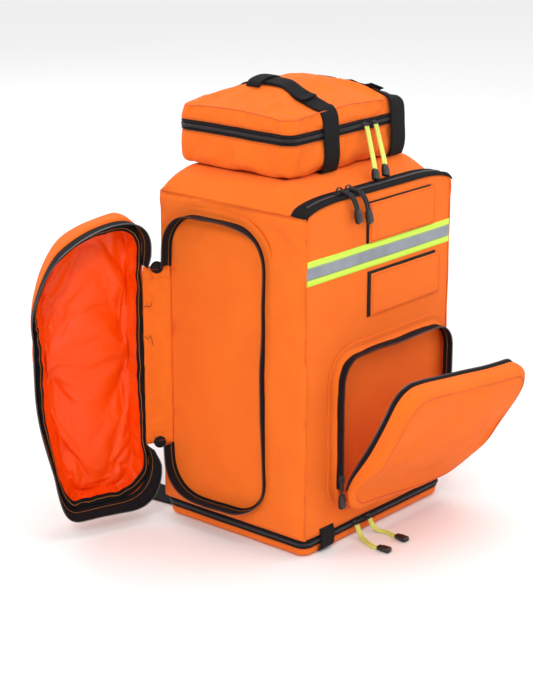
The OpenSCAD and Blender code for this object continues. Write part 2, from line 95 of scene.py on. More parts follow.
class Nodes:
    """A short way to add and join shader nodes in one material."""

    def __init__(self, name, slot, rough, specular=0.5, sheen=0.0, coat=0.0):
        self.material = bpy.data.materials.new(name)
        self.material.use_nodes = True
        self.material["slot"] = slot
        self.tree = self.material.node_tree
        self.shader = self.tree.nodes["Principled BSDF"]
        self.shader.inputs["Roughness"].default_value = rough
        self.shader.inputs["Specular IOR Level"].default_value = specular
        self.shader.inputs["Sheen Weight"].default_value = sheen
        self.shader.inputs["Sheen Roughness"].default_value = 0.5
        self.shader.inputs["Coat Weight"].default_value = coat
        self.shader.inputs["Coat Roughness"].default_value = 0.3

    def add(self, kind, **values):
        node = self.tree.nodes.new("ShaderNode" + kind)
        for key, value in values.items():
            if key.startswith("in_"):
                node.inputs[key[3:].replace("_", " ")].default_value = value
            else:
                setattr(node, key, value)
        return node

    def link(self, a, b):
        self.tree.links.new(a, b)

    def math(self, operation, a, b=None):
        node = self.add("Math", operation=operation)
        for socket, value in zip(node.inputs, (a, b)):
            if value is None:
                continue
            if isinstance(value, (int, float)):
                socket.default_value = value
            else:
                self.link(value, socket)
        return node.outputs[0]

    def place(self, source):
        """Coordinates in metres: the piece's own UV map, or its place in the row frame."""
        if source == "uv":
            return self.add("UVMap", uv_map="UVMap").outputs["UV"]
        return self.add("TexCoord").outputs["Object"]

    def waves(self, source, pitches):
        """Sine waves along each axis of the coordinates, pitches in millimetres."""
        parts = self.add("SeparateXYZ")
        self.link(self.place(source), parts.inputs[0])
        return [self.math("SINE", self.math("MULTIPLY", parts.outputs[i], 2 * math.pi / (p * MM)))
                for i, p in enumerate(pitches)]

    def noise(self, size, detail=2.0, source="object"):
        """Noise from 0 to 1 with features of about size millimetres."""
        node = self.add("TexNoise", in_Scale=1 / (size * MM), in_Detail=detail)
        self.link(self.place(source), node.inputs["Vector"])
        return node.outputs["Fac"]

    def tint(self, colour, dark, light, amount):
        """The base colour, varied between a dark and a light share of it by amount."""
        ramp = self.add("ValToRGB")
        low, high = ramp.color_ramp.elements
        low.position, high.position = 0.3, 0.7
        low.color = (*(c * dark for c in colour[:3]), 1)
        high.color = (*(min(1, c * light) for c in colour[:3]), 1)
        self.link(amount, ramp.inputs[0])
        self.link(ramp.outputs[0], self.shader.inputs["Base Color"])

    def bump(self, height, depth, strength=1.0):
        node = self.add("Bump", in_Strength=strength, in_Distance=depth * MM)
        self.link(height, node.inputs["Height"])
        self.link(node.outputs[0], self.shader.inputs["Normal"])


def woven(name, slot, rgb, pitches, depth, rough, sheen=0.1, mottle=0.07, specular=0.35, source="uv",
          crease=0.0, coat=0.0):
    """Cloth: two sets of threads that pass over and under, uneven dye, and soft small creases."""
    n = Nodes(name, slot, rough, specular, sheen, coat)
    waves = n.waves(source, pitches)
    weave = n.math("MULTIPLY", waves[0], waves[1])
    if source == "object":
        weave = n.math("ADD", n.math("ADD", waves[0], waves[1]), waves[2])
    fuzz = n.noise(0.6, 1.0)
    soft = n.noise(55, 3.0)
    amount = n.math("ADD", n.math("MULTIPLY", soft, 0.75), n.math("MULTIPLY", fuzz, 0.25))
    n.tint(linear(rgb), 1 - mottle, 1 + mottle, amount)
    height = n.math("ADD", weave, n.math("MULTIPLY", fuzz, 0.8))
    if crease:
        height = n.math("ADD", height, n.math("MULTIPLY", n.noise(24, 5.0), crease / depth))
    n.bump(height, depth)
    return n.material


def ribbed(name, slot, rgb, rib, rough, depth=0.25, sheen=0.15, specular=0.4):
    """Webbing and zip tape: ribs across the band, crossed by finer threads along it."""
    n = Nodes(name, slot, rough, specular, sheen)
    along, over = n.waves("uv", (rib, rib * 0.62))
    zigzag = n.math("ABSOLUTE", n.math("MULTIPLY", along, over))
    fuzz = n.noise(0.7, 2.0)
    # The colour follows the ribs, with painted highlight on their raised crowns and painted shade in the furrows. The
    # fuzz part is the yarn's own uneven tone.
    n.tint(linear(rgb), 0.75, 1.35, n.math("ADD", n.math("MULTIPLY", zigzag, 0.35), n.math("MULTIPLY", fuzz, 0.5)))
    n.bump(n.math("ADD", zigzag, n.math("MULTIPLY", fuzz, 0.4)), depth * 1.4)
    return n.material


def moulded(name, slot, rgb, rough, grain=0.05, worn=0.25, coat=0.0):
    """Moulded plastic: a fine grain, with paler scuffs where it rubs."""
    n = Nodes(name, slot, rough, 0.5, 0.0, coat)
    scuffs = n.noise(9, 5.0)
    n.tint(linear(rgb), 1 - worn * 0.4, 1 + worn, scuffs)
    n.bump(n.math("ADD", n.noise(0.45, 2.0), n.math("MULTIPLY", scuffs, 0.5)), grain)
    return n.material


def retroreflective():
    """Silver tape of tiny glass beads: grey, glossy along its creases, with a printed diamond grid."""
    n = Nodes("silver_tape", "reflective_tape", 0.42, 0.6, 0.0, 0.25)
    n.shader.inputs["Metallic"].default_value = 0.35
    waves = n.waves("uv", (1.1, 1.1))
    grid = n.math("MULTIPLY", waves[0], waves[1])
    n.tint(linear((134, 139, 149)), 0.86, 1.12, n.noise(38, 3.0))
    n.bump(n.math("ADD", grid, n.math("MULTIPLY", n.noise(30, 3.0), 6.0)), 0.05)
    return n.material


def open_foam():
    """Open-cell foam sheet."""
    n = Nodes("foam_sheet", "foam", 0.95, 0.2)
    cells = n.add("TexVoronoi", in_Scale=1 / (1.6 * MM))
    n.link(n.place("object"), cells.inputs["Vector"])
    # Darker where the cells dip, using the same field as the bump: painted shade in the pits.
    n.tint(linear((188, 188, 182)), 0.85, 1.05, cells.outputs["Distance"])
    n.bump(cells.outputs["Distance"], 0.4)
    return n.material


ORANGE = woven("orange_cordura", "orange_fabric", (255, 117, 32), (1.3, 1.3), 0.2, 0.75, sheen=0.03, mottle=0.06,
               specular=0.14, crease=1.3)
# The same orange cordura painted darker for the inner faces of pockets and recesses: painted shade.
INNER_SHADED = woven("orange_inside", "orange_fabric", (250, 100, 32), (1.2, 1.2), 0.18, 0.75, sheen=0.03, mottle=0.06,
              specular=0.12, crease=0.9)
LINING = woven("coated_lining", "lining_fabric", (250, 76, 0), (0.8, 0.8), 0.03, 0.36, sheen=0.0, mottle=0.03,
               specular=0.3, crease=0.3)
ZIP_TAPE = ribbed("zip_tape", "zip_tape", (27, 23, 26), 1.1, 0.75, 0.12, sheen=0.02, specular=0.1)
WEB = ribbed("webbing", "black_webbing", (29, 26, 28), 2.2, 0.75, 0.35, sheen=0.02, specular=0.12)
BIAS = ribbed("bias_binding", "zip_tape", (24, 21, 24), 1.5, 0.8, 0.15, sheen=0.02, specular=0.1)
LOOP = woven("loop_fastener", "loop_fastener", (22, 18, 20), (1.3, 1.3, 1.3), 0.4, 0.95, sheen=0.08, mottle=0.3,
             specular=0.15)
LIME = woven("lime_tape", "reflective_tape", (205, 245, 70), (0.9, 0.9), 0.04, 0.55, sheen=0.1, mottle=0.04)
SILVER = retroreflective()
COIL = moulded("zip_coil", "moulded_black", (42, 40, 44), 0.25, 0.03, 0.4, 0.55)
PLASTIC = moulded("moulded_plastic", "moulded_black", (26, 24, 26), 0.42, 0.06, 0.35)
YELLOW = woven("yellow_cord", "yellow_cord", (226, 232, 112), (1.5, 1.5, 1.5), 0.2, 0.6, mottle=0.08)
BLACK_CORD = woven("black_cord", "black_cord", (26, 24, 26), (1.4, 1.4, 1.4), 0.25, 0.6, mottle=0.2)
THREAD = woven("orange_thread", "orange_fabric", (255, 120, 46), (0.5, 0.5, 0.5), 0.04, 0.6, source="object")
# Seam thread: the same orange thread painted darker. This is painted shade along the seams that its stitches and thin
# seam ridges follow.
SEAM_SHADE = woven("seam_thread", "orange_fabric", (224, 88, 28), (0.5, 0.5, 0.5), 0.04, 0.7, source="object")
GOLD = woven("gold_thread", "orange_fabric", (232, 140, 40), (0.5, 0.5, 0.5), 0.04, 0.6, source="object")
BLACK_THREAD = woven("black_thread", "black_webbing", (36, 33, 35), (0.5, 0.5, 0.5), 0.04, 0.7, source="object")
MESH_PAD = woven("spacer_mesh", "padding", (38, 36, 38), (3.4, 2.6), 0.6, 0.85, sheen=0.25, mottle=0.2)
PAD = woven("pad_fabric", "padding", (46, 42, 44), (1.0, 1.0), 0.06, 0.75, sheen=0.15, mottle=0.1, crease=0.3)
RAIN = woven("rain_fabric", "rain_fabric", (206, 226, 60), (0.7, 0.7), 0.03, 0.45, mottle=0.05, crease=0.4)
FOAM = open_foam()
BOARD = moulded("stiff_board", "stiff_board", (92, 94, 98), 0.55, 0.12, 0.15)


# ---- lines ----

def arr(points):
    return np.array(points, float)


def xyz(x, y, z):
    """Points from their coordinates. Any of these can be one number for all of the points."""
    return np.stack(np.broadcast_arrays(x, y, z), -1) * 1.0


def lengths(points):
    """How far along a line each of its points lies."""
    return np.concatenate([[0], np.cumsum(np.linalg.norm(np.diff(points[:, :3], axis=0), axis=1))])


def resample(points, step=None, count=None, closed=False):
    """Evenly spaced points along a line. A closed line doesn't repeat its first point."""
    p = arr(points)
    if closed:
        p = np.vstack([p, p[:1]])
    s = lengths(p)
    if count is None:
        count = max(2, round(s[-1] / step) + (0 if closed else 1))
    t = np.linspace(0, s[-1], count + 1 if closed else count)
    out = np.stack([np.interp(t, s, p[:, k]) for k in range(p.shape[1])], 1)
    return out[:-1] if closed else out


def smooth(points, step=2.0, closed=False):
    """A smooth line through given points, evenly spaced."""
    p = arr(points)
    n = len(p)
    get = (lambda i: p[i % n]) if closed else (lambda i: p[min(max(i, 0), n - 1)])
    out = []
    for i in range(n if closed else n - 1):
        a, b, c, d = get(i - 1), get(i), get(i + 1), get(i + 2)
        for t in np.linspace(0, 1, 8, endpoint=False):
            out.append(0.5 * (2 * b + (c - a) * t + (2 * a - 5 * b + 4 * c - d) * t ** 2
                              + (3 * b - a - 3 * c + d) * t ** 3))
    if not closed:
        out.append(p[-1])
    return resample(out, step=step, closed=closed)


def unit(v):
    v = arr(v)
    return v / np.maximum(np.linalg.norm(v, axis=-1, keepdims=True), 1e-9)


def tangents(line, closed=False):
    if closed:
        return unit(np.roll(line, -1, 0) - np.roll(line, 1, 0))
    return unit(np.gradient(line, axis=0))


def ease(t):
    t = np.clip(t, 0, 1)
    return t * t * (3 - 2 * t)


def rounded_grid(w, h, r, step):
    """A square net of points that fills a rounded rectangle about the origin."""
    us = np.linspace(-1, 1, 2 * round(w / 2 / step) + 1)
    vs = np.linspace(-1, 1, 2 * round(h / 2 / step) + 1)
    u, v = np.meshgrid(us, vs)
    x, y = u * w / 2, v * h / 2
    cx, cy = w / 2 - r, h / 2 - r
    ring = np.maximum(np.maximum(abs(x) - cx, abs(y) - cy) / r, 0)
    dx, dy = np.maximum(abs(x) - cx, 0) / r, np.maximum(abs(y) - cy, 0) / r
    far = np.hypot(dx, dy)
    pull = np.where(far > 0, ring / np.maximum(far, 1e-9), 1)
    x = np.where(abs(x) > cx, np.sign(x) * (cx + (abs(x) - cx) * pull), x)
    y = np.where(abs(y) > cy, np.sign(y) * (cy + (abs(y) - cy) * pull), y)
    return np.stack([x, y], -1)


def rim(grid):
    """The points round the edge of a net, in order."""
    return np.concatenate([grid[0, :-1], grid[:-1, -1], grid[-1, :0:-1], grid[:0:-1, 0]])


def outline(w, h, r, step=6.0):
    """Points round a rounded rectangle about the origin."""
    turns = []
    for sx, sy, start in ((1, 1, 0), (-1, 1, 90), (-1, -1, 180), (1, -1, 270)):
        for a in np.radians(np.linspace(start, start + 90, 10)):
            turns.append([sx * (w / 2 - r) + r * math.cos(a), sy * (h / 2 - r) + r * math.sin(a)])
    return resample(turns, step=step, closed=True)


def stretch(kept):
    """The indices of the part of a loop that is kept, in order from one of its ends to the other."""
    keep = np.flatnonzero(kept)
    gaps = np.flatnonzero(np.diff(keep) > 1)
    return np.roll(keep, -(gaps[0] + 1)) if len(gaps) else keep


def wobble(points, amount, size, seed):
    """Moves points by a smooth field of noise, so neighbours that touch stay together."""
    p = arr(points)
    flat = p.reshape(-1, 3)
    shift = [noise.noise_vector(Vector(q) / size + Vector((seed, seed * 1.7, -seed))) for q in flat]
    return p + arr(shift).reshape(p.shape) * arr(amount)


# ---- pieces ----

def attach(obj, body):
    """Rides obj on a body; given a pair of bodies, only bakes its transform into its mesh."""
    if isinstance(body, str):
        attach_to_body(obj, body)
    else:
        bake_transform(obj)


def add_mesh(name, points, faces, material, body, uvs=None, replaces=(), flat=False):
    mesh = bpy.data.meshes.new(name)
    mesh.from_pydata((arr(points).reshape(-1, 3) * MM).tolist(), [], [[int(i) for i in f] for f in faces])
    if uvs is not None:
        mesh.uv_layers.new(name="UVMap").data.foreach_set("uv", (arr(uvs) * MM).ravel())
    mesh.materials.append(material)
    if not flat:
        mesh.shade_smooth()
    obj = bpy.data.objects.new(name, mesh)
    bpy.context.scene.collection.objects.link(obj)
    if body:
        attach(obj, body)
    if replaces:
        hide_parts(*replaces)
    return obj


def net(rails, closed=False, ring=False, flip=False):
    """Faces and UVs, in millimetres, of the quads between rows of points."""
    rails = arr(rails)
    m, n = rails.shape[:2]
    wide = np.concatenate([rails, rails[:, :1]], 1) if closed else rails
    tall = np.concatenate([wide, wide[:1]], 0) if ring else wide
    along = np.concatenate([[0], np.cumsum(np.linalg.norm(np.diff(tall, axis=1), axis=2).mean(0))])
    across = np.concatenate([[0], np.cumsum(np.linalg.norm(np.diff(tall, axis=0), axis=2).mean(1))])
    faces, uvs = [], []
    for i in range(m if ring else m - 1):
        for j in range(n if closed else n - 1):
            quad = [(i, j), (i, j + 1), (i + 1, j + 1), (i + 1, j)]
            if flip:
                quad.reverse()
            faces.append([(a % m) * n + b % n for a, b in quad])
            uvs += [(along[b], across[a]) for a, b in quad]
    if ring and not closed:
        for j, back in ((0, False), (n - 1, True)):
            cap = [i * n + j for i in range(m)]
            faces.append(cap[::-1] if back else cap)
            uvs += [(along[j] + 2 * math.cos(i), across[i]) for i in (range(m - 1, -1, -1) if back else range(m))]
    return faces, uvs


def joined(nets, **how):
    """Points, faces and UVs of several separate nets as those of one piece."""
    points, faces, uvs = [], [], []
    for rails in nets:
        start = sum(len(p) for p in points)
        f, uv = net(rails, **how)
        faces += [[i + start for i in face] for face in f]
        uvs += uv
        points.append(rails.reshape(-1, 3))
    return np.concatenate(points), faces, uvs


def skin(name, rails, material, body, closed=False, ring=False, flip=False, thick=0.0, side=-1.0, rounds=0,
         replaces=()):
    """A sheet through rows of points, with an optional thickness on one side or about its middle."""
    rails = arr(rails)
    faces, uvs = net(rails, closed, ring, flip)
    obj = add_mesh(name, rails, faces, material, body, uvs, replaces)
    if rounds:
        obj.modifiers.new("Rounded", "SUBSURF").levels = rounds
        obj.modifiers["Rounded"].render_levels = rounds
    if thick:
        solid = obj.modifiers.new("Thickness", "SOLIDIFY")
        solid.thickness = thick * MM
        solid.offset = side
    return obj


def sweep(line, section, side, closed=False):
    """Rails of a section drawn along a line. A section point is (along side, along the normal)."""
    line = arr(line)
    t = tangents(line, closed)
    side = np.broadcast_to(arr(side), line.shape)
    side = unit(side - t * np.sum(side * t, -1, keepdims=True))
    normal = np.cross(t, side)
    return arr([line + side * a + normal * b for a, b in section])


def oval(a, b, count=10):
    return [(a * math.cos(k * 2 * math.pi / count), b * math.sin(k * 2 * math.pi / count)) for k in range(count)]


def tube(name, line, a, b, material, body, side=UP, closed=False, count=10, replaces=()):
    """A tube of oval section."""
    return skin(name, sweep(line, oval(a, b, count), side, closed), material, body, closed, ring=True,
                replaces=replaces)


def strap(name, line, side, width, material, body, thick=1.5, replaces=(), columns=7):
    """Flat webbing along a line, a little thinner at its woven edges."""
    offsets = np.linspace(-width / 2, width / 2, columns)
    lift = [-0.25 if abs(o) > width / 2 - 0.1 else 0.0 for o in offsets]
    return skin(name, sweep(line, list(zip(offsets, lift)), side), material, body, thick=thick, side=0.0,
                replaces=replaces)


# ---- small repeated things, gathered into one piece for each body and material ----

gathered = {}
LOZENGE = arr([[-.5, 0, 0]] + [[x, y, z] for x in (-.3, .3) for y, z in ((-.5, 0), (0, .5), (.5, 0), (0, -.5))]
              + [[.5, 0, 0]])
LOZENGE_FACES = ([[0, 1 + (k + 1) % 4, 1 + k] for k in range(4)]
                 + [[1 + k, 1 + (k + 1) % 4, 5 + (k + 1) % 4, 5 + k] for k in range(4)]
                 + [[9, 5 + k, 5 + (k + 1) % 4] for k in range(4)])
CUBE = arr([[x, y, z] for z in (-.5, .5) for x, y in ((-.5, -.5), (.5, -.5), (.5, .5), (-.5, .5))])
TOOTH = CUBE * np.where(CUBE[:, 2:] > 0, [[0.55, 0.8, 1]], [[1, 1, 1]])
CUBE_FACES = [[3, 2, 1, 0], [4, 5, 6, 7], [0, 1, 5, 4], [1, 2, 6, 5], [2, 3, 7, 6], [3, 0, 4, 7]]


def gather(name, material, body, points, faces):
    store = gathered.setdefault((name, body), [[], [], material, 0])
    store[0].append(arr(points))
    store[1] += [[i + store[3] for i in f] for f in faces]
    store[3] += len(points)


def scatter(name, material, body, shape, faces, line, normal, size, pitch, closed=False):
    """Copies a small shape along a line: its x runs along the line and its z along the normal."""
    line = arr(line)
    both = np.concatenate([line, np.broadcast_to(arr(normal), line.shape)], 1)
    both = resample(both, step=pitch, closed=closed)
    at, z = both[:, :3], both[:, 3:]
    x = tangents(at, closed)
    y = unit(np.cross(z, x))
    z = np.cross(x, y)
    scaled = shape * arr(size)
    points = (at[:, None] + scaled[None, :, :1] * x[:, None] + scaled[None, :, 1:2] * y[:, None]
              + scaled[None, :, 2:] * z[:, None])
    n = len(shape)
    gather(name, material, body, points.reshape(-1, 3),
           [[i + k * n for i in f] for k in range(len(at)) for f in faces])


def stitch(body, line, normal, thread=THREAD, closed=False, pitch=3.8, width=1.0):
    """A row of lockstitches lying on the cloth."""
    scatter("stitches_" + thread.name.split("_")[0], thread, body, LOZENGE, LOZENGE_FACES, line, normal,
            (pitch * 0.74, width, 0.7), pitch, closed)


def teeth(body, line, normal, closed=False, pitch=2.5, size=(1.5, 2.4, 1.9)):
    """One side of an open zip: a row of separate teeth."""
    scatter("zip_teeth", COIL, body, TOOTH, CUBE_FACES, line, normal, size, pitch, closed)


def closed_zip(body, line, normal, closed=False, width=4.6):
    """A shut zip: two interlocked rows of coils along a line."""
    line = arr(line)
    normal = np.broadcast_to(arr(normal), line.shape)
    across = np.cross(tangents(line, closed), normal)
    for side in (-1, 1):
        scatter("zip_coils", COIL, body, LOZENGE, LOZENGE_FACES, line + across * side * width * 0.23, normal,
                (1.7, width * 0.62, 1.9), 2.3, closed)


def block(name, material, body, at, size, axes, bevel=0.8, taper=1.0):
    """A moulded block with rounded edges, gathered with others of its name. axes are its x, y, z."""
    bm = bmesh.new()
    bmesh.ops.create_cube(bm, size=1)
    for v in bm.verts:
        share = taper if v.co.z > 0 else 1.0
        v.co = Vector((v.co.x * size[0] * share, v.co.y * size[1] * share, v.co.z * size[2]))
    bmesh.ops.bevel(bm, geom=bm.edges[:], offset=bevel, segments=2, profile=0.6, affect="EDGES")
    axes = unit(arr(axes))
    points = [arr(at) + arr(v.co) @ axes for v in bm.verts]
    faces = [[v.index for v in f.verts] for f in bm.faces]
    bm.free()
    gather(name, material, body, points, faces)


def place_gathered():
    """Makes one piece of each kind of small thing on each body."""
    for (name, body), (points, faces, material, _) in gathered.items():
        where = body if isinstance(body, str) else body[1] + "_bend"
        add_mesh(f"{where}_{name}", np.concatenate(points), faces, material, body,
                 flat=name in ("zip_teeth",))


# ---- cloth simulation ----

def settle(points, faces, pinned, slack=0.03, pressure=1.0, cap=8.0, frames=14, stiff=0.4, gravity=0.0):
    """Cloth pinned at some points, cut a little too large and pushed along its normals.

    No point moves further than cap.
    """
    points = arr(points)
    flat = points.reshape(-1, 3)
    mesh = bpy.data.meshes.new("settling")
    mesh.from_pydata((flat * MM).tolist(), [], [[int(i) for i in f] for f in faces])
    obj = bpy.data.objects.new("settling", mesh)
    bpy.context.scene.collection.objects.link(obj)
    group = obj.vertex_groups.new(name="pinned")
    group.add([int(i) for i in np.flatnonzero(arr(pinned).ravel())], 1.0, "REPLACE")
    cloth = obj.modifiers.new("Cloth", "CLOTH")
    s = cloth.settings
    s.quality = 5
    s.mass = 0.25
    s.vertex_group_mass = "pinned"
    s.tension_stiffness = s.compression_stiffness = 20
    s.shear_stiffness = 8
    s.bending_stiffness = stiff
    s.air_damping = 4
    s.shrink_min = -slack
    s.use_pressure = True
    s.uniform_pressure_force = pressure
    s.effector_weights.gravity = gravity
    scene = bpy.context.scene
    for f in range(1, frames + 1):
        scene.frame_set(f)
    evaluated = obj.evaluated_get(bpy.context.evaluated_depsgraph_get()).data
    moved = np.zeros(len(flat) * 3)
    evaluated.vertices.foreach_get("co", moved)
    shift = moved.reshape(-1, 3) / MM - flat
    far = np.linalg.norm(shift, axis=1, keepdims=True)
    shift *= cap * np.tanh(far / cap) / np.maximum(far, 1e-9)
    bpy.data.objects.remove(obj)
    scene.frame_set(1)
    return (flat + shift).reshape(points.shape)


def settled_net(rails, pinned, closed=False, flip=False, **how):
    """A net of points after settling. Pinned where pinned is true."""
    faces, _ = net(rails, closed, flip=flip)
    return settle(rails, faces, pinned, **how)


def row_mask(rails, first=1):
    """Pins the first rows of a net, and the last one."""
    mask = np.zeros(rails.shape[:2], bool)
    mask[:first] = mask[-1] = True
    return mask


def edge_mask(rails):
    """Pins the whole rim of a net."""
    mask = row_mask(rails)
    mask[:, 0] = mask[:, -1] = True
    return mask


# ---- camera and light ----

FLOOR_REACH, FLOOR_Z = 40, -0.0005


def camera_and_light():
    """The photo's view of the pack, in metres: four soft lamps over a white floor."""
    data = bpy.data.cameras.new("camera")
    data.lens, data.sensor_width = 95.35, 36
    camera = bpy.data.objects.new("camera", data)
    bpy.context.scene.collection.objects.link(camera)
    eye = Vector((-2.005, -1.641, 1.088))
    target = Vector((-0.0417, 0.0426, 0.2529))
    camera.location = eye
    camera.rotation_mode = "QUATERNION"
    camera.rotation_quaternion = (target - eye).to_track_quat("-Z", "Y")
    data.clip_end = 100
    bpy.context.scene.camera = camera

    world = bpy.data.worlds.new("studio")
    world.use_nodes = True
    world.node_tree.nodes["Background"].inputs["Color"].default_value = (1, 1, 1, 1)
    world.node_tree.nodes["Background"].inputs["Strength"].default_value = 0.9
    bpy.context.scene.world = world
    for name, at, size, power in (
        ("key", (-3.0, -1.6, 2.6), 1.1, 46),
        ("top", (0.4, -0.4, 3.2), 2.4, 29),
        ("fill", (2.4, -2.4, 1.4), 2.0, 16),
        ("back", (1.0, 3.0, 2.2), 2.2, 20),
    ):
        lamp = bpy.data.lights.new(name, "AREA")
        lamp.shape, lamp.size, lamp.energy = "DISK", size, power
        obj = bpy.data.objects.new(name, lamp)
        bpy.context.scene.collection.objects.link(obj)
        obj.location = at
        obj.rotation_mode = "QUATERNION"
        obj.rotation_quaternion = (Vector((0, 0, 0.3)) - Vector(at)).to_track_quat("-Z", "Y")

    n = Nodes("studio_floor", "", 0.7, 0.2)
    n.shader.inputs["Base Color"].default_value = (0.93, 0.93, 0.93, 1)
    floor = bpy.data.meshes.new("floor")
    corners = [(x * FLOOR_REACH, y * FLOOR_REACH, FLOOR_Z) for x, y in ((-1, -1), (1, -1), (1, 1), (-1, 1))]
    floor.from_pydata(corners, [], [[0, 1, 2, 3]])
    floor.materials.append(n.material)
    obj = bpy.data.objects.new("floor", floor)
    bpy.context.scene.collection.objects.link(obj)
    bpy.context.scene.view_settings.view_transform = "Standard"


# ---- cords ----

CORD_W, CORD_STEP = 6.4, 1.5
POUCH_ROUTES = {
    "left": [[33, -80.6, 586.6], [31, -86, 574], [27, -94, 557], [20, -104, 541], [14, -111, 532]],
    "right": [[54, -80.6, 586.6], [53, -86, 574], [49, -94, 559], [43, -104, 544], [37, -111, 535]]}
MAIN_ROUTES = {
    "left": [[-82, -124.4, 520], [-79, -135, 518], [-75, -142, 511], [-71, -144, 502], [-68, -144, 494]],
    "right": [[-62, -124.4, 520], [-57, -135, 518], [-52, -142, 510], [-47, -144, 500], [-43, -144, 489]]}
BASE_ROUTES = {
    "left": [[-54, -141.6, 19], [-55, -148, 8], [-58, -156, 3], [-63, -168, 1.8], [-68, -180, 1.8], [-69, -192, 1.8]],
    "right": [[-24, -141.6, 19], [-22, -148, 8], [-19, -156, 3], [-16, -166, 1.8], [-17, -177, 1.8],
              [-20, -188, 1.8]]}
POUCH_TIPS = {"left": [9, -117, 518], "right": [31, -118, 520]}
MAIN_TIPS = {"left": [-62, -144, 474], "right": [-37.5, -144, 469]}
BASE_TIPS = {"left": [-68, -213, 4], "right": [-22, -209, 4]}


def pull_cord(node, route, material, body):
    """A doubled cord, its two strands side by side, from a slider to its moulded end."""
    path = smooth(route, CORD_STEP)
    r = CORD_W * 0.33
    strands = [sweep(path, [(a + side * r, b) for a, b in oval(r, r, 8)], ACROSS) for side in (-1, 1)]
    points, faces, uvs = joined(strands, ring=True)
    piece = add_mesh(node + "_strands", points, faces, material, body, uvs, replaces=(node,))


def moulded_end(name, start, end, body, node=()):
    """The grip on a cord: a flattened block with a neck, a crimped middle and a rounded foot."""
    start, end = arr(start), arr(end)
    along = unit(end - start)
    side = unit(ACROSS - along * along[0])
    up = np.cross(along, side)
    reach = np.linalg.norm(end - start)
    stations = [(0, 3.6, 2.2), (0.05, 4.8, 3.0), (0.3, 5.2, 3.4), (0.34, 5.7, 3.8), (0.9, 5.9, 3.8), (0.97, 5.2, 3.2),
                (1.0, 3.8, 2.2)]
    rails = []
    for share, a, b in stations:
        ring = []
        for k in range(16):
            angle = (k + 0.5) * math.pi / 8
            c, s = math.cos(angle), math.sin(angle)
            ring.append(start + along * reach * share + side * a * math.copysign(abs(c) ** 0.45, c)
                        + up * b * math.copysign(abs(s) ** 0.45, s))
        rails.append(ring)
    rails = np.swapaxes(arr(rails), 0, 1)
    return skin(name, rails, PLASTIC, body, ring=True, replaces=node)


def zip_slider(name, at, run, out, body, scale=1.0):
    """A zip slider: two wings, a nose, and a bridge that holds the cord."""
    run, out = unit(run), unit(out)
    side = np.cross(out, run)
    axes = (run, side, out)
    at = arr(at)
    block(name, PLASTIC, body, at + out * 1.2 * scale, (12.5 * scale, 9.4 * scale, 1.9 * scale), axes, 0.7)
    block(name, PLASTIC, body, at + out * 3.2 * scale, (11.5 * scale, 8.4 * scale, 1.8 * scale), axes, 0.7, 0.86)
    block(name, PLASTIC, body, at + out * 2.2 * scale + run * 3.6, (4 * scale, 4.4 * scale, 3 * scale), axes, 0.6)
    arch = smooth([at + run * x * scale + out * z * scale for x, z in
                   ((-4.6, 3.6), (-4.4, 6.0), (-2.6, 7.8), (2.6, 7.8), (4.4, 6.0), (4.6, 3.6))], 1.0)
    faces, _ = net(sweep(arch, oval(1.5, 0.9, 8), side), ring=True)
    gather(name, PLASTIC, body, sweep(arch, oval(1.5, 0.9, 8), side).reshape(-1, 3), faces)


def pulls():
    """Every zip pull: slider, doubled cord and moulded end."""
    top = FRONT_TOP + 2.2
    for side in ("left", "right"):
        body = f"main_pull_{side}"
        route = MAIN_ROUTES[side]
        end = moulded_end(f"main_pull_end_{side}", route[-1], MAIN_TIPS[side], body, (f"main_slider_{side}",))
        zip_slider("slider", [route[0][0], ZIP_SPLIT, top], ACROSS, UP, body, 1.2)
        pull_cord(f"main_cord_{side}", route, BLACK_CORD, body)

        body = f"pouch_pull_{side}"
        route = POUCH_ROUTES[side]
        end = moulded_end(f"pouch_pull_end_{side}", route[-1], POUCH_TIPS[side], body, (f"pouch_slider_{side}",))
        zip_slider("slider", [route[0][0], POUCH_Y - POUCH_D / 2 - 0.7, POUCH_ZIP], ACROSS, FRONT, body, 0.85)
        pull_cord(f"pouch_cord_{side}", route, YELLOW, body)

        route = BASE_ROUTES[side]
        start = arr(route[-1]) + [0, 0, 2.2]
        node = ("base_pulls",) if side == "left" else ()
        end = moulded_end(f"base_pull_end_{side}", start, BASE_TIPS[side], "pack", node)
        zip_slider("base_sliders", [route[0][0], -HALF_D + 0.3, (TRAY_H + BASE_TOP) / 2], ACROSS, FRONT, "pack", 0.85)
        pull_cord(f"base_cord_{side}", route, YELLOW, "pack")


# ---- main compartment ----

def mouth_z(x, lift=0.0):
    """Height of the front panel's curved top edge."""
    u = np.maximum(0, abs(arr(x)) - 90) / (HALF_W - 90)
    return SEAM_Z + lift + (FRONT_TOP - SEAM_Z) * np.sqrt(np.maximum(0, 1 - u * u))


def pinch(distance, depth=2.2, reach=5.0):
    """How far cloth dips next to a seam."""
    return depth * np.exp(-np.maximum(distance, 0) / reach)


SEAM_HEIGHTS = np.linspace(30, 494, 60)


def front_panel():
    xs = HALF_W * np.sin(np.linspace(-math.pi / 2, math.pi / 2, 61))
    rails = []
    for share in np.linspace(0, 1, 76):
        z = BASE_TOP + (mouth_z(xs) - BASE_TOP) * share
        edge = np.minimum(HALF_W - abs(xs), (1 - share) * 480)
        y = -HALF_D + pinch(edge)
        rails.append(xyz(xs, y, z))
    rails = arr(rails)
    clear = (rails[:, :, 2] > 300)[..., None]
    rails = np.where(clear, wobble(rails, (0, 0.5, 0), 90, 3), wobble(rails, (0, 2.2, 0), 110, 3))
    rails[..., 1] = np.maximum(rails[..., 1], -HALF_D - 1.0 * ~clear[..., 0])
    skin("front_skin", rails, ORANGE, "pack", thick=1.2, side=-1, replaces=("front_panel",))
    for sign in (-1, 1):
        line = xyz(sign * (HALF_W - 0.6), -HALF_D + 1.0, SEAM_HEIGHTS)
        stitch("pack", line, [sign, -1, 0], SEAM_SHADE, pitch=3.2, width=0.9)


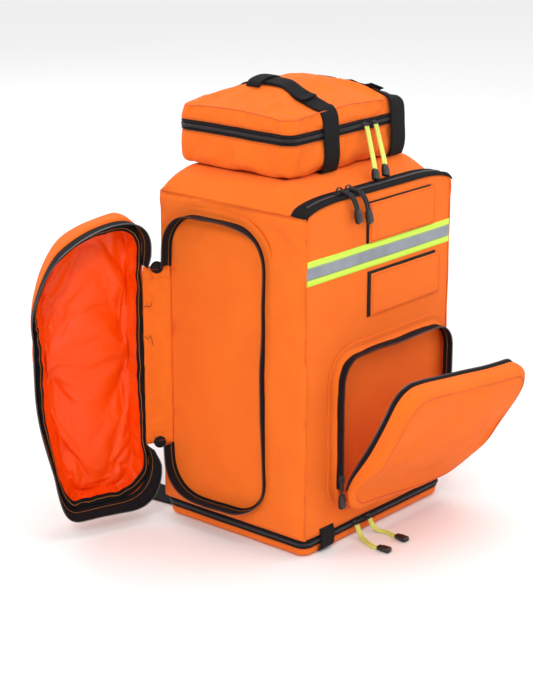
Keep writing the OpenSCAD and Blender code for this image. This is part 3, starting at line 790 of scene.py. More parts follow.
def side_skin(sign, name, node):
    """A side wall, sewn to the lid along its top, with the shallow folds that a loose wall has."""
    ys = np.linspace(-HALF_D, HALF_D, 55)
    zs = np.linspace(BASE_TOP, SEAM_Z, 86)
    y, z = np.meshgrid(ys, zs)
    edge = np.minimum(np.minimum(HALF_D - abs(y), SEAM_Z - z), 60)
    x = HALF_W - pinch(edge) + 1.6 * np.sin(np.clip((z - 470) / 26, 0, 1) * math.pi)
    rails = xyz(x, y, z)
    rails = settled_net(rails, edge_mask(rails), slack=0.012, pressure=0.6, cap=2.4, frames=10)
    rails = wobble(rails, (1.1, 0, 0), 80, 5 + sign)
    rails[..., 0] = np.minimum(rails[..., 0], HALF_W + 1.0)
    rails[..., 0] *= sign
    skin(name, rails, ORANGE, SIDE_TOP, flip=sign > 0, thick=1.2, side=-1, replaces=(node,))
    line = xyz(sign * (HALF_W + 0.4), np.linspace(-HALF_D + 2, HALF_D - 2, 60), SEAM_Z - 2.5)
    stitch("lid", line, [sign, 0, 0.4], SEAM_SHADE, pitch=3.0, width=0.9)


def back_skin():
    xs = np.linspace(-HALF_W, HALF_W, 60)
    zs = np.linspace(BASE_TOP, SEAM_Z, 80)
    x, z = np.meshgrid(xs, zs)
    y = HALF_D - pinch(np.minimum(HALF_W - abs(x), SEAM_Z - z), 2.0)
    rails = wobble(xyz(x, y, z), (0, 1.0, 0), 70, 9)
    rails[..., 1] = np.minimum(rails[..., 1], HALF_D)
    skin("back_skin", rails, ORANGE, "pack", flip=True, thick=1.2, side=-1, replaces=("back_panel",))
    for sign in (-1, 1):
        line = xyz(sign * (HALF_W - 0.6), HALF_D - 0.8, SEAM_HEIGHTS)
        stitch("pack", line, [sign, 1, 0], SEAM_SHADE, pitch=3.2, width=0.9)


def lid_height(x, y):
    """Height of the crowned lid, domed across and behind, and sloping down to the zip in front."""
    ramp = ease((y - LID_FRONT) / 46)
    flat = 90 + 22 * ramp
    fx = np.sqrt(np.maximum(0, 1 - (np.maximum(0, abs(x) - flat) / (HALF_W - flat)) ** 2))
    fy = np.sqrt(np.maximum(0, 1 - (np.maximum(0, y - 100) / (HALF_D - 100)) ** 2))
    low = SEAM_Z + 0.4
    rise = FRONT_TOP + 1.6 - low + (LID_Z - FRONT_TOP - 1.6) * ramp
    return low + rise * fx * fy


def lid():
    xs = HALF_W * np.sin(np.linspace(-math.pi / 2, math.pi / 2, 65))
    ys = np.concatenate([np.linspace(LID_FRONT, 90, 44),
                         HALF_D - 46 * (1 - np.sin(np.linspace(0.1, math.pi / 2, 16)))])
    x, y = np.meshgrid(xs, ys)
    rails = xyz(x, y, lid_height(x, y))
    rails = settled_net(rails, edge_mask(rails), slack=0.012, pressure=0.8, cap=2.6, frames=10)
    rails = wobble(rails, (0, 0, 1.3), 60, 12)
    under = (abs(rails[..., 0] - POUCH_X) < POUCH_W / 2 - 8) & (rails[..., 1] > -60)
    rails[..., 2] = np.where(under, np.minimum(rails[..., 2], LID_Z - 0.4), rails[..., 2])
    skin("lid_skin", rails, ORANGE, "lid", thick=1.2, side=-1, replaces=("top_panel",))
    xs, y = np.linspace(-150, 150, 80), LID_FRONT + 2.5
    stitch("lid", xyz(xs, y, lid_height(xs, arr(y)) + 0.8), UP, pitch=3.4)


def main_zip():
    """The mouth's zip: a padded black edge and tape on the front panel, and the other tape on the lid."""
    xs = HALF_W * np.sin(np.linspace(-math.pi / 2, math.pi / 2, 81))
    base = mouth_z(xs)
    ends = ease((HALF_W - abs(xs)) / 9)

    def run(section):
        return arr([xyz(xs, y, base + z * (0.35 + 0.65 * ends)) for y, z in section])

    front = [(-135.6, -2.6), (-137.0, -1.8), (-137.6, 0.2), (-136.6, 2.2), (-134.6, 3.2), (-132.4, 2.6), (-131.2, 1.2),
             (-129.6, 1.0), (-126.6, 1.4), (-125.2, 1.6), (-123.4, 1.6)]
    rear = [(-123.0, 1.8), (-121.4, 1.8), (-119.4, 1.7), (-116.0, 2.2), (-112.6, 3.0), (-109.4, 3.6), (-107.6, 2.8)]
    skin("main_zip_tape_front", run(front), ZIP_TAPE, "pack", thick=0.9, side=-1,
         replaces=("main_zip_front",))
    skin("main_zip_tape_rear", run(rear), ZIP_TAPE, "lid", thick=0.9, side=-1, replaces=("main_zip_rear",))
    inner = abs(xs) < HALF_W - 14
    split = xyz(xs, ZIP_SPLIT, base + 2.4)[inner]
    for body, shift in (("pack", [0, -1.5, 0]), ("lid", [1.2, 1.5, 0])):
        scatter("main_coils", COIL, body, LOZENGE, LOZENGE_FACES, split + shift, UP, (1.8, 3.6, 2.6), 2.4)
    ridge = xyz(xs, -118.6, base + 2.6)[inner]
    tube("main_zip_cord_edge", ridge, 1.5, 1.2, ZIP_TAPE, "lid", side=FRONT)
    for y, z, body in ((-128.4, 1.7, "pack"), (-112.0, 3.7, "lid")):
        stitch(body, xyz(xs, y, base + z)[inner], UP, BLACK_THREAD, pitch=3.0)


def reflective_strip():
    """Lime tape with a silver middle, across the front."""
    xs = np.linspace(-HALF_W + 0.4, HALF_W - 0.2, 90)

    def rows(z0, z1, proud, count):
        y = -HALF_D - proud + pinch(HALF_W - abs(xs), 1.6, 3.0)
        return arr([xyz(xs, y, z) for z in np.linspace(z0, z1, count)])

    base, high, lime = 402.0, 35.0, 8.5
    how = (0, 0.25, 0.5), 50, 21
    skin("lime_tape_band", wobble(rows(base, base + high, 0.55, 12), *how), LIME, "pack", thick=0.5,
         replaces=("reflective_strip",))
    skin("silver_tape_band", wobble(rows(base + lime, base + high - lime, 0.85, 8), *how), SILVER, "pack", thick=0.4)
    for z in (base + 1.6, base + lime + 1.0, base + high - lime - 1.0, base + high - 1.6):
        line = xyz(xs, -HALF_D - 1.1, z)
        stitch("pack", wobble(line[1:-1], *how), FRONT, LIME, pitch=3.0, width=0.6)


UPPER_FLAP = (-31.0, 124.0, 438.0, 495.0)
LOWER_FLAP = (-25.0, 140.0, 330.0, 392.0)


def flaps():
    """Two identity flaps, each on its black loop panel, hinged on the right-hand edge."""
    for name, (x0, x1, z0, z1), left, top, seed in (
        ("upper", UPPER_FLAP, 5.0, 2.0, 31),
        ("lower", LOWER_FLAP, 7.0, 4.0, 37),
    ):
        xs, zs = np.linspace(x0 - left, x1 - 10, 40), np.linspace(z0 - 0.6, z1 + top, 20)
        x, z = np.meshgrid(xs, zs)
        loop = xyz(x, -HALF_D - 0.9, z)
        skin(f"loop_panel_{name}", wobble(loop, (0, 0.15, 0), 8, seed), LOOP, "pack", thick=0.6,
             replaces=("id_loop_panels",) if name == "upper" else ())
        xs, zs = np.linspace(x0, x1, 60), np.linspace(z0, z1, 26)
        x, z = np.meshgrid(xs, zs)
        edge = np.minimum(np.minimum(x - x0, x1 - x), np.minimum(z - z0, z1 - z))
        y = -HALF_D - 2.9 + pinch(edge, 1.1, 1.6) - 0.5 * np.exp(-((edge - 4) / 1.6) ** 2)
        sag = 1.4 * ease((x1 - x) / (x1 - x0)) * ((z1 - z) / (z1 - z0))
        flap = wobble(xyz(x, y, z - sag * 0.6), (0, 0.5, 0.4), 34, seed)
        skin(f"flap_{name}", flap, ORANGE, f"{name}_flap", thick=1.4, side=-1, rounds=1,
             replaces=(f"id_flap_{name}",))
        left, right, low, high = x0 + 2.6, x1 - 2.6, z0 + 2.6, z1 - 2.6
        line = resample(xyz([left, right, right, left], -HALF_D - 3.5, [low, low, high, high]), step=3, closed=True)
        stitch(f"{name}_flap", line, FRONT, SEAM_SHADE, closed=True, pitch=4.2, width=1.0)


def base():
    """The base tray, its black zip band, the webbing tab, and the folded rain cover inside."""
    loop = outline(2 * HALF_W - 3, 2 * HALF_D - 3, 16, 5)

    def ring(grow, z):
        scale = 1 + grow / arr([HALF_W - 1.5, HALF_D - 1.5])
        return xyz(*(loop * scale).T, z)

    tray = arr([ring(grow, z) for grow, z in
                ((-60, 0.6), (-12, 0.6), (-5, 1.0), (-2.2, 3.0), (-1.2, 6.5), (-1.4, 10), (-1.8, 13))])
    tray = wobble(tray, (1.0, 1.0, 0.3), 45, 41)
    tray[..., 2] = np.maximum(tray[..., 2], 0.4)
    skin("base_tray", tray, ORANGE, "pack", closed=True, thick=1.2, side=-1, replaces=("base_cover",))
    how = (0.5, 0.5, 0.4), 45, 41
    band = arr([ring(grow, z) for grow, z in
                ((-1.6, 12.6), (-0.2, 14.0), (0.6, 17), (0.9, 20.0), (0.6, 24), (-0.2, 27.4), (-1.6, 29))])
    skin("base_zip_band", wobble(band, *how), ZIP_TAPE, "pack", closed=True, thick=1.0, side=-1, replaces=("base_zip",))
    middle = wobble(ring(1.1, 20.0), *how)
    out = unit(middle * [1, 1, 0])
    closed_zip("pack", middle, out, closed=True, width=4.4)
    for z, thread in ((11.4, THREAD), (29.2, SEAM_SHADE)):
        stitch("pack", wobble(ring(0.2, z), *how), out, thread, closed=True, pitch=3.4)
    tab = smooth(xyz(-119, [-136.6, -138.4, -139.2, -138.6, -134, -124], [37, 30, 20, 9, 3.2, 2.2]), 3)
    strap("base_tab", tab, ACROSS, 30, WEB, "pack", thick=1.5, replaces=("base_strap",))
    cloth = rounded_grid(248, 188, 30, 8)
    layers = [wobble(xyz(cloth[..., 0], cloth[..., 1], 4 + k * 3.4), (0, 0, 1.2), 30, 50 + k) for k in range(6)]
    folded = add_mesh("folded_rain_cover", *joined(layers)[:2], RAIN, "pack", joined(layers)[2],
                      replaces=("rain_cover",))


DIVIDER_Z, DIVIDER_H = 252.0, 418.0


def inside():
    """The boards, foam, floor and padded divider in the main compartment."""
    for node, material in (("base_board", BOARD), ("back_board", BOARD), ("wall_foam", FOAM)):
        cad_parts[node].data.materials.clear()
        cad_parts[node].data.materials.append(material)
    xs, ys = np.linspace(-HALF_W + 3, HALF_W - 3, 40), np.linspace(-HALF_D + 3, HALF_D - 3, 34)
    x, y = np.meshgrid(xs, ys)
    floor = wobble(xyz(x, y, BASE_TOP + 5), (0, 0, 0.8), 40, 61)
    skin("floor_skin", floor, LINING, "pack", thick=1.0, side=-1, replaces=("floor_panel",))
    grid = rounded_grid(2 * HALF_W - 22, DIVIDER_H, 12, 9)
    edge = np.minimum(HALF_W - 11 - abs(grid[..., 0]), DIVIDER_H / 2 - abs(grid[..., 1]))
    across, up = (abs(np.sin(g / 52 * math.pi)) for g in (grid[..., 0], grid[..., 1] + 26))
    quilt = 0.55 + 0.45 * across * up
    puff = 3.4 * ease(edge / 14) * quilt
    covers = [xyz(grid[..., 0], side * (0.5 + puff), grid[..., 1] + DIVIDER_Z) for side in (-1, 1)]
    points, faces, uvs = joined(covers)
    half = len(faces) // 2
    faces[half:] = [quad[::-1] for quad in faces[half:]]
    pad = add_mesh("divider_pad", points, faces, LINING, "pack", uvs, replaces=("divider_panel",))
    loop = rim(grid)
    line = resample(xyz(loop[:, 0], 0, loop[:, 1] + DIVIDER_Z), step=8, closed=True)
    tube("divider_binding", line, 2.2, 1.6, BIAS, "pack", side=[0, 1, 0], closed=True)


# ---- front pocket ----

def front_bend(left, right):
    """The slope, run out and rise of the hanging front pocket, each 2 mm up from its hinge, for one side of it."""
    up = np.arange(0, 262, 2.0)
    slope = np.radians(left * ease(up / 77) + right - 9.4 * ease((up - 120) / 110))
    steps = np.concatenate([[0], np.diff(up)])
    return up, slope, np.cumsum(np.sin(slope) * steps), np.cumsum(np.cos(slope) * steps)


def front_open(points):
    """Hangs the shut front pocket open. Its slider holds the left side, so the pocket bends out above it there."""
    p = arr(points)
    x, depth, up = p[..., 0], FRONT_HINGE_Y - p[..., 1], p[..., 2] - FRONT_HINGE_Z
    across = np.clip((x - FRONT_X) / FRONT_W + 0.5, 0, 1)
    foot = 1 - ease(up / 110)
    depth = depth * (1 - 0.3 * (1 - ease(across * 2)) * foot) * (1 - 0.5 * foot * (depth > 8))
    share = ease(across) ** 0.93
    slope, out, rise = 0, 0, 0
    for weight, bend in ((1 - share, front_bend(30.5, 0)), (share, front_bend(0, 32.3))):
        slope = slope + weight * np.interp(up, bend[0], bend[1])
        out = out + weight * np.interp(up, bend[0], bend[2])
        rise = rise + weight * (np.interp(up, bend[0], bend[3]) + np.minimum(up, 0))
    dip = 4 * share * (1 - ease((up - 20) / 150))
    return xyz(x, FRONT_HINGE_Y - out - depth * np.cos(slope), FRONT_HINGE_Z + rise - depth * np.sin(slope) - dip)


def front_loop(grow, y):
    loop = outline(FRONT_W + 2 * grow, FRONT_H + 2 * grow, FRONT_R + grow, 5)
    loop = resample(loop, count=170, closed=True)
    return xyz(loop[:, 0] + FRONT_X, y, loop[:, 1] + FRONT_Z)


def front_recess():
    """The half of the front pocket on the pack: a stitched flange and the standing zip tape."""
    low = -HALF_D
    how = (0.6, 0.5, 0.6), 40, 71
    flange = [front_loop(g, low - d) for g, d in ((13, 0.2), (12, 1.2), (8, 1.5), (3, 2.6), (0.6, 6.5), (0.0, 8.5))]
    flange = wobble(arr(flange), *how)
    skin("front_pocket_flange_skin", flange, ORANGE, "pack", closed=True, thick=1.0, side=-1,
         replaces=("front_pocket_flange",))
    loops = arr([front_loop(g, low - d) for g, d in ((-0.2, 7.5), (0.3, 11), (0.4, 15), (0.2, 19.6))])
    wall = loops[:, stretch(loops[0, :, 2] > 92)]
    span = np.clip((wall[0, :, 0] - FRONT_X - 20) / 125, -1, 1)
    droop = 3 * np.cos(span * math.pi / 2) * ease((wall[0, :, 2] - 200) / 60)
    lean = np.linspace(0, 1, 4)[:, None]
    wall[..., 2] -= droop * lean
    wall = wobble(wall, (1.6, 0.8, 1.6), 46, 73)
    skin("front_pocket_tape_body", wall, ZIP_TAPE, "pack", thick=0.9, side=0, replaces=("front_pocket_zip_body",))
    inward = unit(arr([FRONT_X, low - 19, FRONT_Z]) - wall[-1]) * [1, 0, 1]
    teeth("pack", wall[-1], inward)
    stitch("pack", wall[1] + inward * 0.6, inward, GOLD, pitch=3.4)
    bind = wall[0] + inward * 2.0
    tube("front_pocket_binding_body", resample(bind, step=5), 2.0, 1.2, BIAS, "pack", side=FRONT)
    for g, d in ((10.4, 1.75), (6.4, 2.15)):
        stitch("pack", wobble(front_loop(g, low - d), *how), FRONT, SEAM_SHADE, closed=True, pitch=4.2, width=0.9)


def front_pocket():
    """The half of the front pocket that hangs: rim tape, gusset, outer face, inner face and slider."""
    edge = FRONT_HINGE_Y - 0.4
    root = FRONT_HINGE_Y - FRONT_TAPE
    face_y = root - FRONT_DEPTH
    grid = rounded_grid(FRONT_W - 14, FRONT_H - 14, FRONT_R - 7, 5.5)
    flat = xyz(grid[..., 0] + FRONT_X, face_y + 0.6, grid[..., 1] + FRONT_Z)
    face = settled_net(flat, edge_mask(flat), slack=0.03, pressure=0.35, cap=3.5, frames=16, stiff=0.2)
    border = rim(flat)
    full = border + (border - [FRONT_X, 0, FRONT_Z]) * arr([7 / (FRONT_W / 2 - 7), 0, 7 / (FRONT_H / 2 - 7)])

    def loop_at(share, y, bulge=0.0):
        """The rim loop at share 0, the face's seam at share 1."""
        p = full + (border - full) * share
        p = p + unit((full - [FRONT_X, 0, FRONT_Z]) * [1, 0, 1]) * bulge
        p[:, 1] = y
        return p

    bottom = 1 - ease((full[:, 2] - FRONT_HINGE_Z) / 26)
    gusset = arr([loop_at(*row) for row in ((0, root), (0, root - 6, 1.2), (0, root - 13, 1.6), (0.25, root - 19, 1.0),
                                            (0.7, face_y + 2.2), (1, face_y + 0.6))])
    tuck = loop_at(0, root + 6.5) * bottom[:, None] + gusset[0] * (1 - bottom[:, None])
    gusset = np.concatenate([tuck[None], gusset])

    def hang(points):
        return front_open(wobble(points, (2.0, 2.0, 2.0), 62, 77))

    gusset = settled_net(gusset, row_mask(gusset, 2), closed=True, flip=True, slack=0.06, pressure=0.4, cap=3,
                         frames=14, stiff=0.2)
    skin("front_pocket_gusset", hang(gusset), ORANGE, FRONT_SWING, closed=True, thick=1.1, side=-1, flip=True,
         rounds=1, replaces=("front_pocket_shell",))
    skin("front_pocket_face", hang(face), ORANGE, FRONT_SWING, thick=1.1, side=-1, rounds=1)
    back = flat * [1, 0, 1] + [0, face_y + 8.0, 0]
    # The pocket's inner face is in the darker orange: painted shade inside the pocket.
    skin("front_pocket_lining", hang(wobble(back, (0, 1.5, 0), 30, 79)), INNER_SHADED, FRONT_SWING, flip=True)
    # A thin ridge along the face seam in the darker seam thread. The ridge stands for the seam; its darker colour is
    # painted shade of the seam groove.
    seam = resample(loop_at(1, face_y + 0.2), step=4, closed=True)
    tube("front_pocket_seam", hang(seam), 0.9, 0.7, SEAM_SHADE, FRONT_SWING, side=FRONT, closed=True)
    order = stretch(full[:, 2] > FRONT_HINGE_Z + 34)
    tape = arr([loop_at(0, y, b)[order]
                for y, b in ((root + 0.5, -0.4), (root + 3, 0.2), (edge - 2, 0.4), (edge, 0.3))])
    skin("front_pocket_tape_shell", hang(tape), ZIP_TAPE, FRONT_SWING, thick=0.9, side=0,
         replaces=("front_pocket_zip_shell",))
    rim_line = hang(tape[-1])
    centre = front_open(arr([FRONT_X, edge, FRONT_Z]))
    teeth(FRONT_SWING, rim_line, unit(centre - rim_line))
    piping = hang(tape[0] + [0, -1.2, 0])
    tube("front_pocket_rim_piping", resample(piping, step=4), 1.6, 1.4, ZIP_TAPE, FRONT_SWING, side=FRONT)
    stitch(FRONT_SWING, hang(loop_at(0, root - 3.0, 1.6)[order]), unit(rim_line - centre), pitch=3.2, width=0.6)

    x = FRONT_X - FRONT_W / 2
    zip_slider("front_slider", [x - 1.5, FRONT_HINGE_Y + 3.0, 110], UP, [-1, -0.35, 0], "pack", 0.95)
    hanging = smooth([[x - 8, -156.5, 110], [x - 9.5, -158.5, 103], [x - 8.5, -158.6, 95], [x - 7, -158.2, 88]], 1.5)
    tube("front_slider_cord", hanging, 2.4, 1.4, BLACK_CORD, "pack", side=ACROSS, replaces=("front_pocket_slider",))
    moulded_end("front_slider_end", [x - 7.0, -158.2, 88.5], [x - 4.2, -157.6, 67], "pack")


# ---- side pockets ----

def turned(points, x, y, degrees):
    """Points turned about an upright line."""
    p = arr(points)
    c, s = math.cos(math.radians(degrees)), math.sin(math.radians(degrees))
    dx, dy = p[..., 0] - x, p[..., 1] - y
    return xyz(x + dx * c - dy * s, y + dx * s + dy * c, p[..., 2])


def strip_open(points):
    return turned(points, -HINGE_X, SIDE_BACK, -STRIP_TURN)


def pouch_open(points):
    return strip_open(turned(points, -SHELL_X, SIDE_BACK, -POUCH_TURN))


def sagged(points):
    """The open side pocket hangs: its rim droops at the far top and flares at the foot of its hinge, the tape
    leans out below and on the far side, and the far wall falls in."""
    p = arr(points)
    s, z, x = SIDE_BACK - p[..., 1], p[..., 2], abs(p[..., 0])
    deep = np.clip((x - SHELL_X) / SIDE_DEPTH, 0, 1)
    root = 1 - np.clip((SHELL_X - x) / TAPE_W, 0, 1)
    u = np.clip(s / SIDE_W, 0, 1)
    high, low = ease((z - 250) / 200), 1 - ease((z - 43) / 60)
    near = 1 - ease(s / 55)
    under, over = ease((STRIP_Z0 + 3 - z) / 26), ease((z - STRIP_Z1 - 3) / 22)
    ds = (-28 * np.exp(-((z - 70) / 90) ** 2) * u ** 2 - (15 * under + 5 * over) * near * (1 - deep) * (1 - 0.75 * root)
          - 26 * deep * ease(s / 90) - 7 * root * ease((u - 0.6) / 0.4))
    dz = (-(80 * u ** 2.5 + 8 * ease(s / 50)) * high * (1 - 0.35 * deep) - 16 * low
          - 12 * under * near * (1 - deep) * (1 - 0.6 * root) + 12 * root * low)
    return xyz(p[..., 0], p[..., 1] - ds, z + dz)


def side_loop(grow, x, sign):
    loop = resample(outline(SIDE_W + 2 * grow, SIDE_H + 2 * grow, SIDE_R + grow, 5), count=220, closed=True)
    return xyz(sign * x, loop[:, 0] + SIDE_Y, loop[:, 1] + SIDE_Z)


def along_zip(loop):
    """The indices of the stretch that has a zip, from one end of the hinge strip round to the other."""
    strip = (loop[:, 1] > SIDE_BACK - 8) & (loop[:, 2] > STRIP_Z0 - 3) & (loop[:, 2] < STRIP_Z1 + 3)
    return stretch(~strip)


def inward_of(loop):
    return unit((arr([0, SIDE_Y, SIDE_Z]) - loop) * [0, 1, 1])


def side_recess(sign, label):
    """The half of a side pocket on the pack: a stitched flange and the standing zip tape."""
    how = (0.35, 0.7, 0.7), 42, 81
    flange = arr([side_loop(g, HALF_W + d, sign)
                  for g, d in ((11.5, -0.4), (10.8, 0.9), (6, 1.4), (1.5, 1.6), (0.2, 3.6))])
    flange = wobble(flange, *how)
    skin(f"{label}_pocket_flange_skin", flange, ORANGE, "pack", closed=True, flip=sign > 0, thick=1.0, side=-1,
         replaces=(f"{label}_pocket_flange",))
    for g in (9.4, 5.6):
        line = wobble(side_loop(g, HALF_W + 1.7, sign), *how)
        stitch("pack", line, [sign, 0, 0], SEAM_SHADE, closed=True, pitch=4.2, width=0.9)
    rows = arr([side_loop(g, HALF_W + d, sign) for g, d in ((-0.4, 2.6), (0, 7), (0.2, 14), (0, 21.4))])
    wall = rows[:, along_zip(rows[0])]
    squeeze = 6 * np.exp(-((wall[..., 2] - 240) / 110) ** 2) * (wall[..., 1] < SIDE_Y) * np.linspace(0.3, 1, 4)[:, None]
    lean = ease((SIDE_Y - 40 - wall[..., 1]) / 45) * np.linspace(0, 1, 4)[:, None]
    wall[..., 0] -= sign * 11 * lean
    wall[..., 1] += squeeze - 2 * lean
    wall = wobble(wall, (0.5, 2.2, 2.2), 58, 83)
    skin(f"{label}_pocket_tape_body", wall, ZIP_TAPE, "pack", thick=0.9, side=0,
         replaces=(f"{label}_pocket_zip_body",))
    inward = inward_of(wall[-1])
    teeth("pack", wall[-1], inward)
    stitch("pack", wall[1] + inward * 0.7, inward, GOLD, pitch=3.4)
    bind = wall[0] + inward * 2.4 + [sign * 1.6, 0, 0]
    tube(f"{label}_pocket_binding_body", resample(bind, step=6), 2.6, 1.0, BIAS, "pack", side=[1, 0, 0])
    gusset = arr([side_loop(g, HALF_W + d, sign) for g, d in ((-1.8, 0.2), (-1.6, 3.4))])
    # The recess root is in the darker orange: painted shade inside the recess.
    skin(f"{label}_pocket_root", wobble(gusset, (0.3, 0.6, 0.6), 42, 81), INNER_SHADED, "pack", closed=True, flip=sign < 0)
    line = xyz(sign * (HALF_W + 0.9), SIDE_BACK - 5, np.linspace(STRIP_Z0, STRIP_Z1, 60))
    stitch("pack", line, [sign, 0, 0], SEAM_SHADE, pitch=3.2, width=0.8)


def hinge_strip(sign, label, move):
    """The orange strip that joins the two halves at the back, boxed at both ends, with black zip tabs."""
    xs = np.linspace(HINGE_X - 0.4, SHELL_X + 0.4, 13)
    zs = np.linspace(STRIP_Z0 - 4, STRIP_Z1 + 4, 70)
    x, z = np.meshgrid(xs, zs)
    end = np.minimum(z - zs[0], zs[-1] - z)
    pucker = 1.1 * np.sin(x * 0.9) * np.exp(-((end - 10) / 7) ** 2)
    y = SIDE_BACK - 0.8 + pucker + 1.6 * np.sin((x - HINGE_X) / STRIP_LEN * math.pi)
    rails = xyz(x * sign, y, z)
    rails = settled_net(rails, edge_mask(rails), slack=0.02, pressure=0.5, cap=2.5, frames=10)
    rails = move(wobble(rails, (0.8, 1.2, 0.6), 28, 91))
    body = f"{label}_strip"
    skin(f"{label}_strip_cloth", rails, ORANGE, body, thick=1.2, side=0, replaces=(f"{label}_hinge_strip",))
    outward = unit(move([0, 1, 0]) - move([0, 0, 0]))
    for z0 in (STRIP_Z0 + 1, STRIP_Z0 + 14, STRIP_Z1 - 14, STRIP_Z1 - 1):
        line = xyz(sign * np.linspace(HINGE_X + 2, SHELL_X - 2, 14), SIDE_BACK + 0.6, z0)
        for face in (-1, 1):
            stitch(body, move(line + [0, face * 1.3 - 1.0, 0]), outward * face, SEAM_SHADE, pitch=3.0, width=0.7)
    for z0, sag_z in ((330, 6), (286, -14)):
        thread = smooth(xyz(sign * (SHELL_X - arr([1, 5, 9, 12])), SIDE_BACK - arr([1.5, 4, 4.5, 3]),
                            z0 + arr([0, sag_z * 0.3, 1, sag_z])), 2)
        tube(f"{label}_loose_thread_{z0}", move(thread), 0.45, 0.45, BLACK_THREAD, body, count=6)
    middle = sign * (HINGE_X + STRIP_LEN / 2)
    for z0, end in ((STRIP_Z0 - 2, "low"), (STRIP_Z1 + 2, "high")):
        a = np.linspace(0, 2 * math.pi, 24, endpoint=False)
        rings = arr([xyz(middle + r * np.cos(a), SIDE_BACK - 0.4 + 0.5 * np.sin(a * 2), z0 + r * np.sin(a))
                     for r in (0.5, 6, 8.6, 9.0)])
        skin(f"{label}_zip_tab_{end}", move(rings), LOOP, body, closed=True, thick=2.4, side=0)


def side_shell(sign, label, move, open_wide):
    """The half of a side pocket that swings: rim tape, gusset, outer face and a loose coated lining."""
    body = f"{label}_pocket"
    depth = SHELL_X + SIDE_DEPTH
    grid = rounded_grid(SIDE_W - 12, SIDE_H - 12, SIDE_R - 6, 5.5)
    flat = xyz(depth - 1.0, grid[..., 0] + SIDE_Y, grid[..., 1] + SIDE_Z)
    face = settled_net(flat, edge_mask(flat), slack=0.02, pressure=1.4, cap=6, frames=14)
    border = rim(flat)
    centre = arr([0, SIDE_Y, SIDE_Z])
    away = (border - centre) * [0, 1, 1]
    full = border + away * arr([0, 6 / (SIDE_W / 2 - 6), 6 / (SIDE_H / 2 - 6)])

    def loop_at(share, x, bulge=0.0):
        p = full + (border - full) * share + unit((full - centre) * [0, 1, 1]) * bulge
        p[:, 0] = x
        return p

    def place(points):
        p = wobble(points * arr([sign, 1, 1]), (2.0, 2.4, 2.0), 70, 95)
        return move(sagged(p) if open_wide else p)

    gusset = arr([loop_at(share, SHELL_X + x, bulge) for share, x, bulge in
                  ((0, -0.5, 0), (0, 10, 1.6), (0, 22, 2.2), (0.1, 33, 1.6), (0.5, SIDE_DEPTH - 4.0, 0.6),
                   (1, SIDE_DEPTH - 1.0, 0))])
    skin(f"{label}_pocket_gusset", place(gusset), ORANGE, body, closed=True, flip=sign > 0, thick=1.0, side=-1,
         replaces=(f"{label}_pocket_shell",))
    skin(f"{label}_pocket_face", place(face), ORANGE, body, flip=sign < 0, thick=1.0, side=-1, rounds=1)
    # A thin ridge along the face seam in the darker seam thread. The ridge stands for the seam; its darker colour is
    # painted shade of the seam groove.
    tube(f"{label}_pocket_seam", place(resample(loop_at(1, depth - 0.6), step=5, closed=True)), 1.0, 0.8, SEAM_SHADE, body,
         side=ACROSS, closed=True)

    order = along_zip(full)
    tape = arr([loop_at(0, SHELL_X + x, b)[order] for x, b in ((0.5, -0.3), (-6, 0.3), (-13, 0.5), (-19.6, 0.2))])
    skin(f"{label}_pocket_tape_shell", place(tape), ZIP_TAPE, body, thick=0.9, side=0,
         replaces=(f"{label}_pocket_zip_shell",))
    rim_line = tape[-1]
    inward = inward_of(rim_line)
    moved_in = unit(place(rim_line + inward) - place(rim_line))
    teeth(body, place(rim_line), moved_in)
    stitch(body, place(tape[1] + inward * 1.0), moved_in, GOLD, pitch=3.4)
    moved_out = unit(place(full) - place(full + inward_of(full)))
    stitch(body, place(loop_at(0, SHELL_X + 4.5, 2.2)), moved_out, closed=True, pitch=3.2, width=0.6)
    if open_wide:
        side_lining(sign, body, depth, centre, place, move)


def side_lining(sign, body, depth, centre, place, move):
    """The loose coated lining of an open side pocket, its wall sewn into a black binding."""
    grid = rounded_grid(SIDE_W - 22, SIDE_H - 22, SIDE_R - 11, 5.0)
    inner = xyz(depth - 7.0, grid[..., 0] + SIDE_Y, grid[..., 1] + SIDE_Z)
    loops = rim(inner)
    inner = settled_net(inner, edge_mask(inner), flip=True, slack=0.085, pressure=1.5, cap=13, frames=22, stiff=0.15)
    skin("left_lining_face", place(inner), LINING, body, flip=True, rounds=1, replaces=("left_pocket_lining",))
    spread = (loops - centre) * [0, 1, 1]
    out = loops + spread * arr([0, 7 / (SIDE_W / 2 - 11), 7 / (SIDE_H / 2 - 11)])
    walls = []
    for share in np.linspace(0, 1, 9):
        p = loops + (out - loops) * min(1, share * 2.2)
        p[:, 0] = depth - 7.0 - share * (SIDE_DEPTH - 8.5)
        walls.append(p)
    walls = arr(walls)
    walls = settled_net(walls, row_mask(walls), closed=True, slack=0.07, pressure=1.2, cap=6, frames=18, stiff=0.15)
    skin("left_lining_wall", place(walls), LINING, body, closed=True, rounds=1)
    how = (2.6, 2.2, 2.2), 19, 99
    rows = []
    for lift, reach in ((0.9, -2.5), (1.2, 3.0), (0.4, 9.0), (-1.0, 9.2), (-1.4, 3.0), (-1.2, -2.5)):
        row = walls[-1] + inward_of(walls[-1]) * reach
        row[:, 0] -= lift + 1.5
        rows.append(wobble(row, *how))
    skin("left_lining_binding", place(arr(rows)), BIAS, body, closed=True, ring=True)
    thread = wobble(walls[-1] + inward_of(walls[-1]) * 5.5 - [3.4, 0, 0], *how)
    stitch(body, place(thread), unit(move([sign, 0, 0]) - move([0, 0, 0])), GOLD, closed=True, pitch=3.6)


def side_pockets():
    for sign, label, strip_move, shell_move in ((-1, "left", strip_open, pouch_open), (1, "right", arr, arr)):
        side_recess(sign, label)
        hinge_strip(sign, label, strip_move)
        side_shell(sign, label, shell_move, open_wide=sign < 0)


# ---- top pouch ----

def not_behind(loop):
    """The indices of a pouch loop, leaving out the stretch where the cover hinges."""
    return stretch(~((loop[:, 1] > POUCH_Y + POUCH_D / 2 - 1.5) & (abs(loop[:, 0]) < POUCH_W / 2 - POUCH_R)))


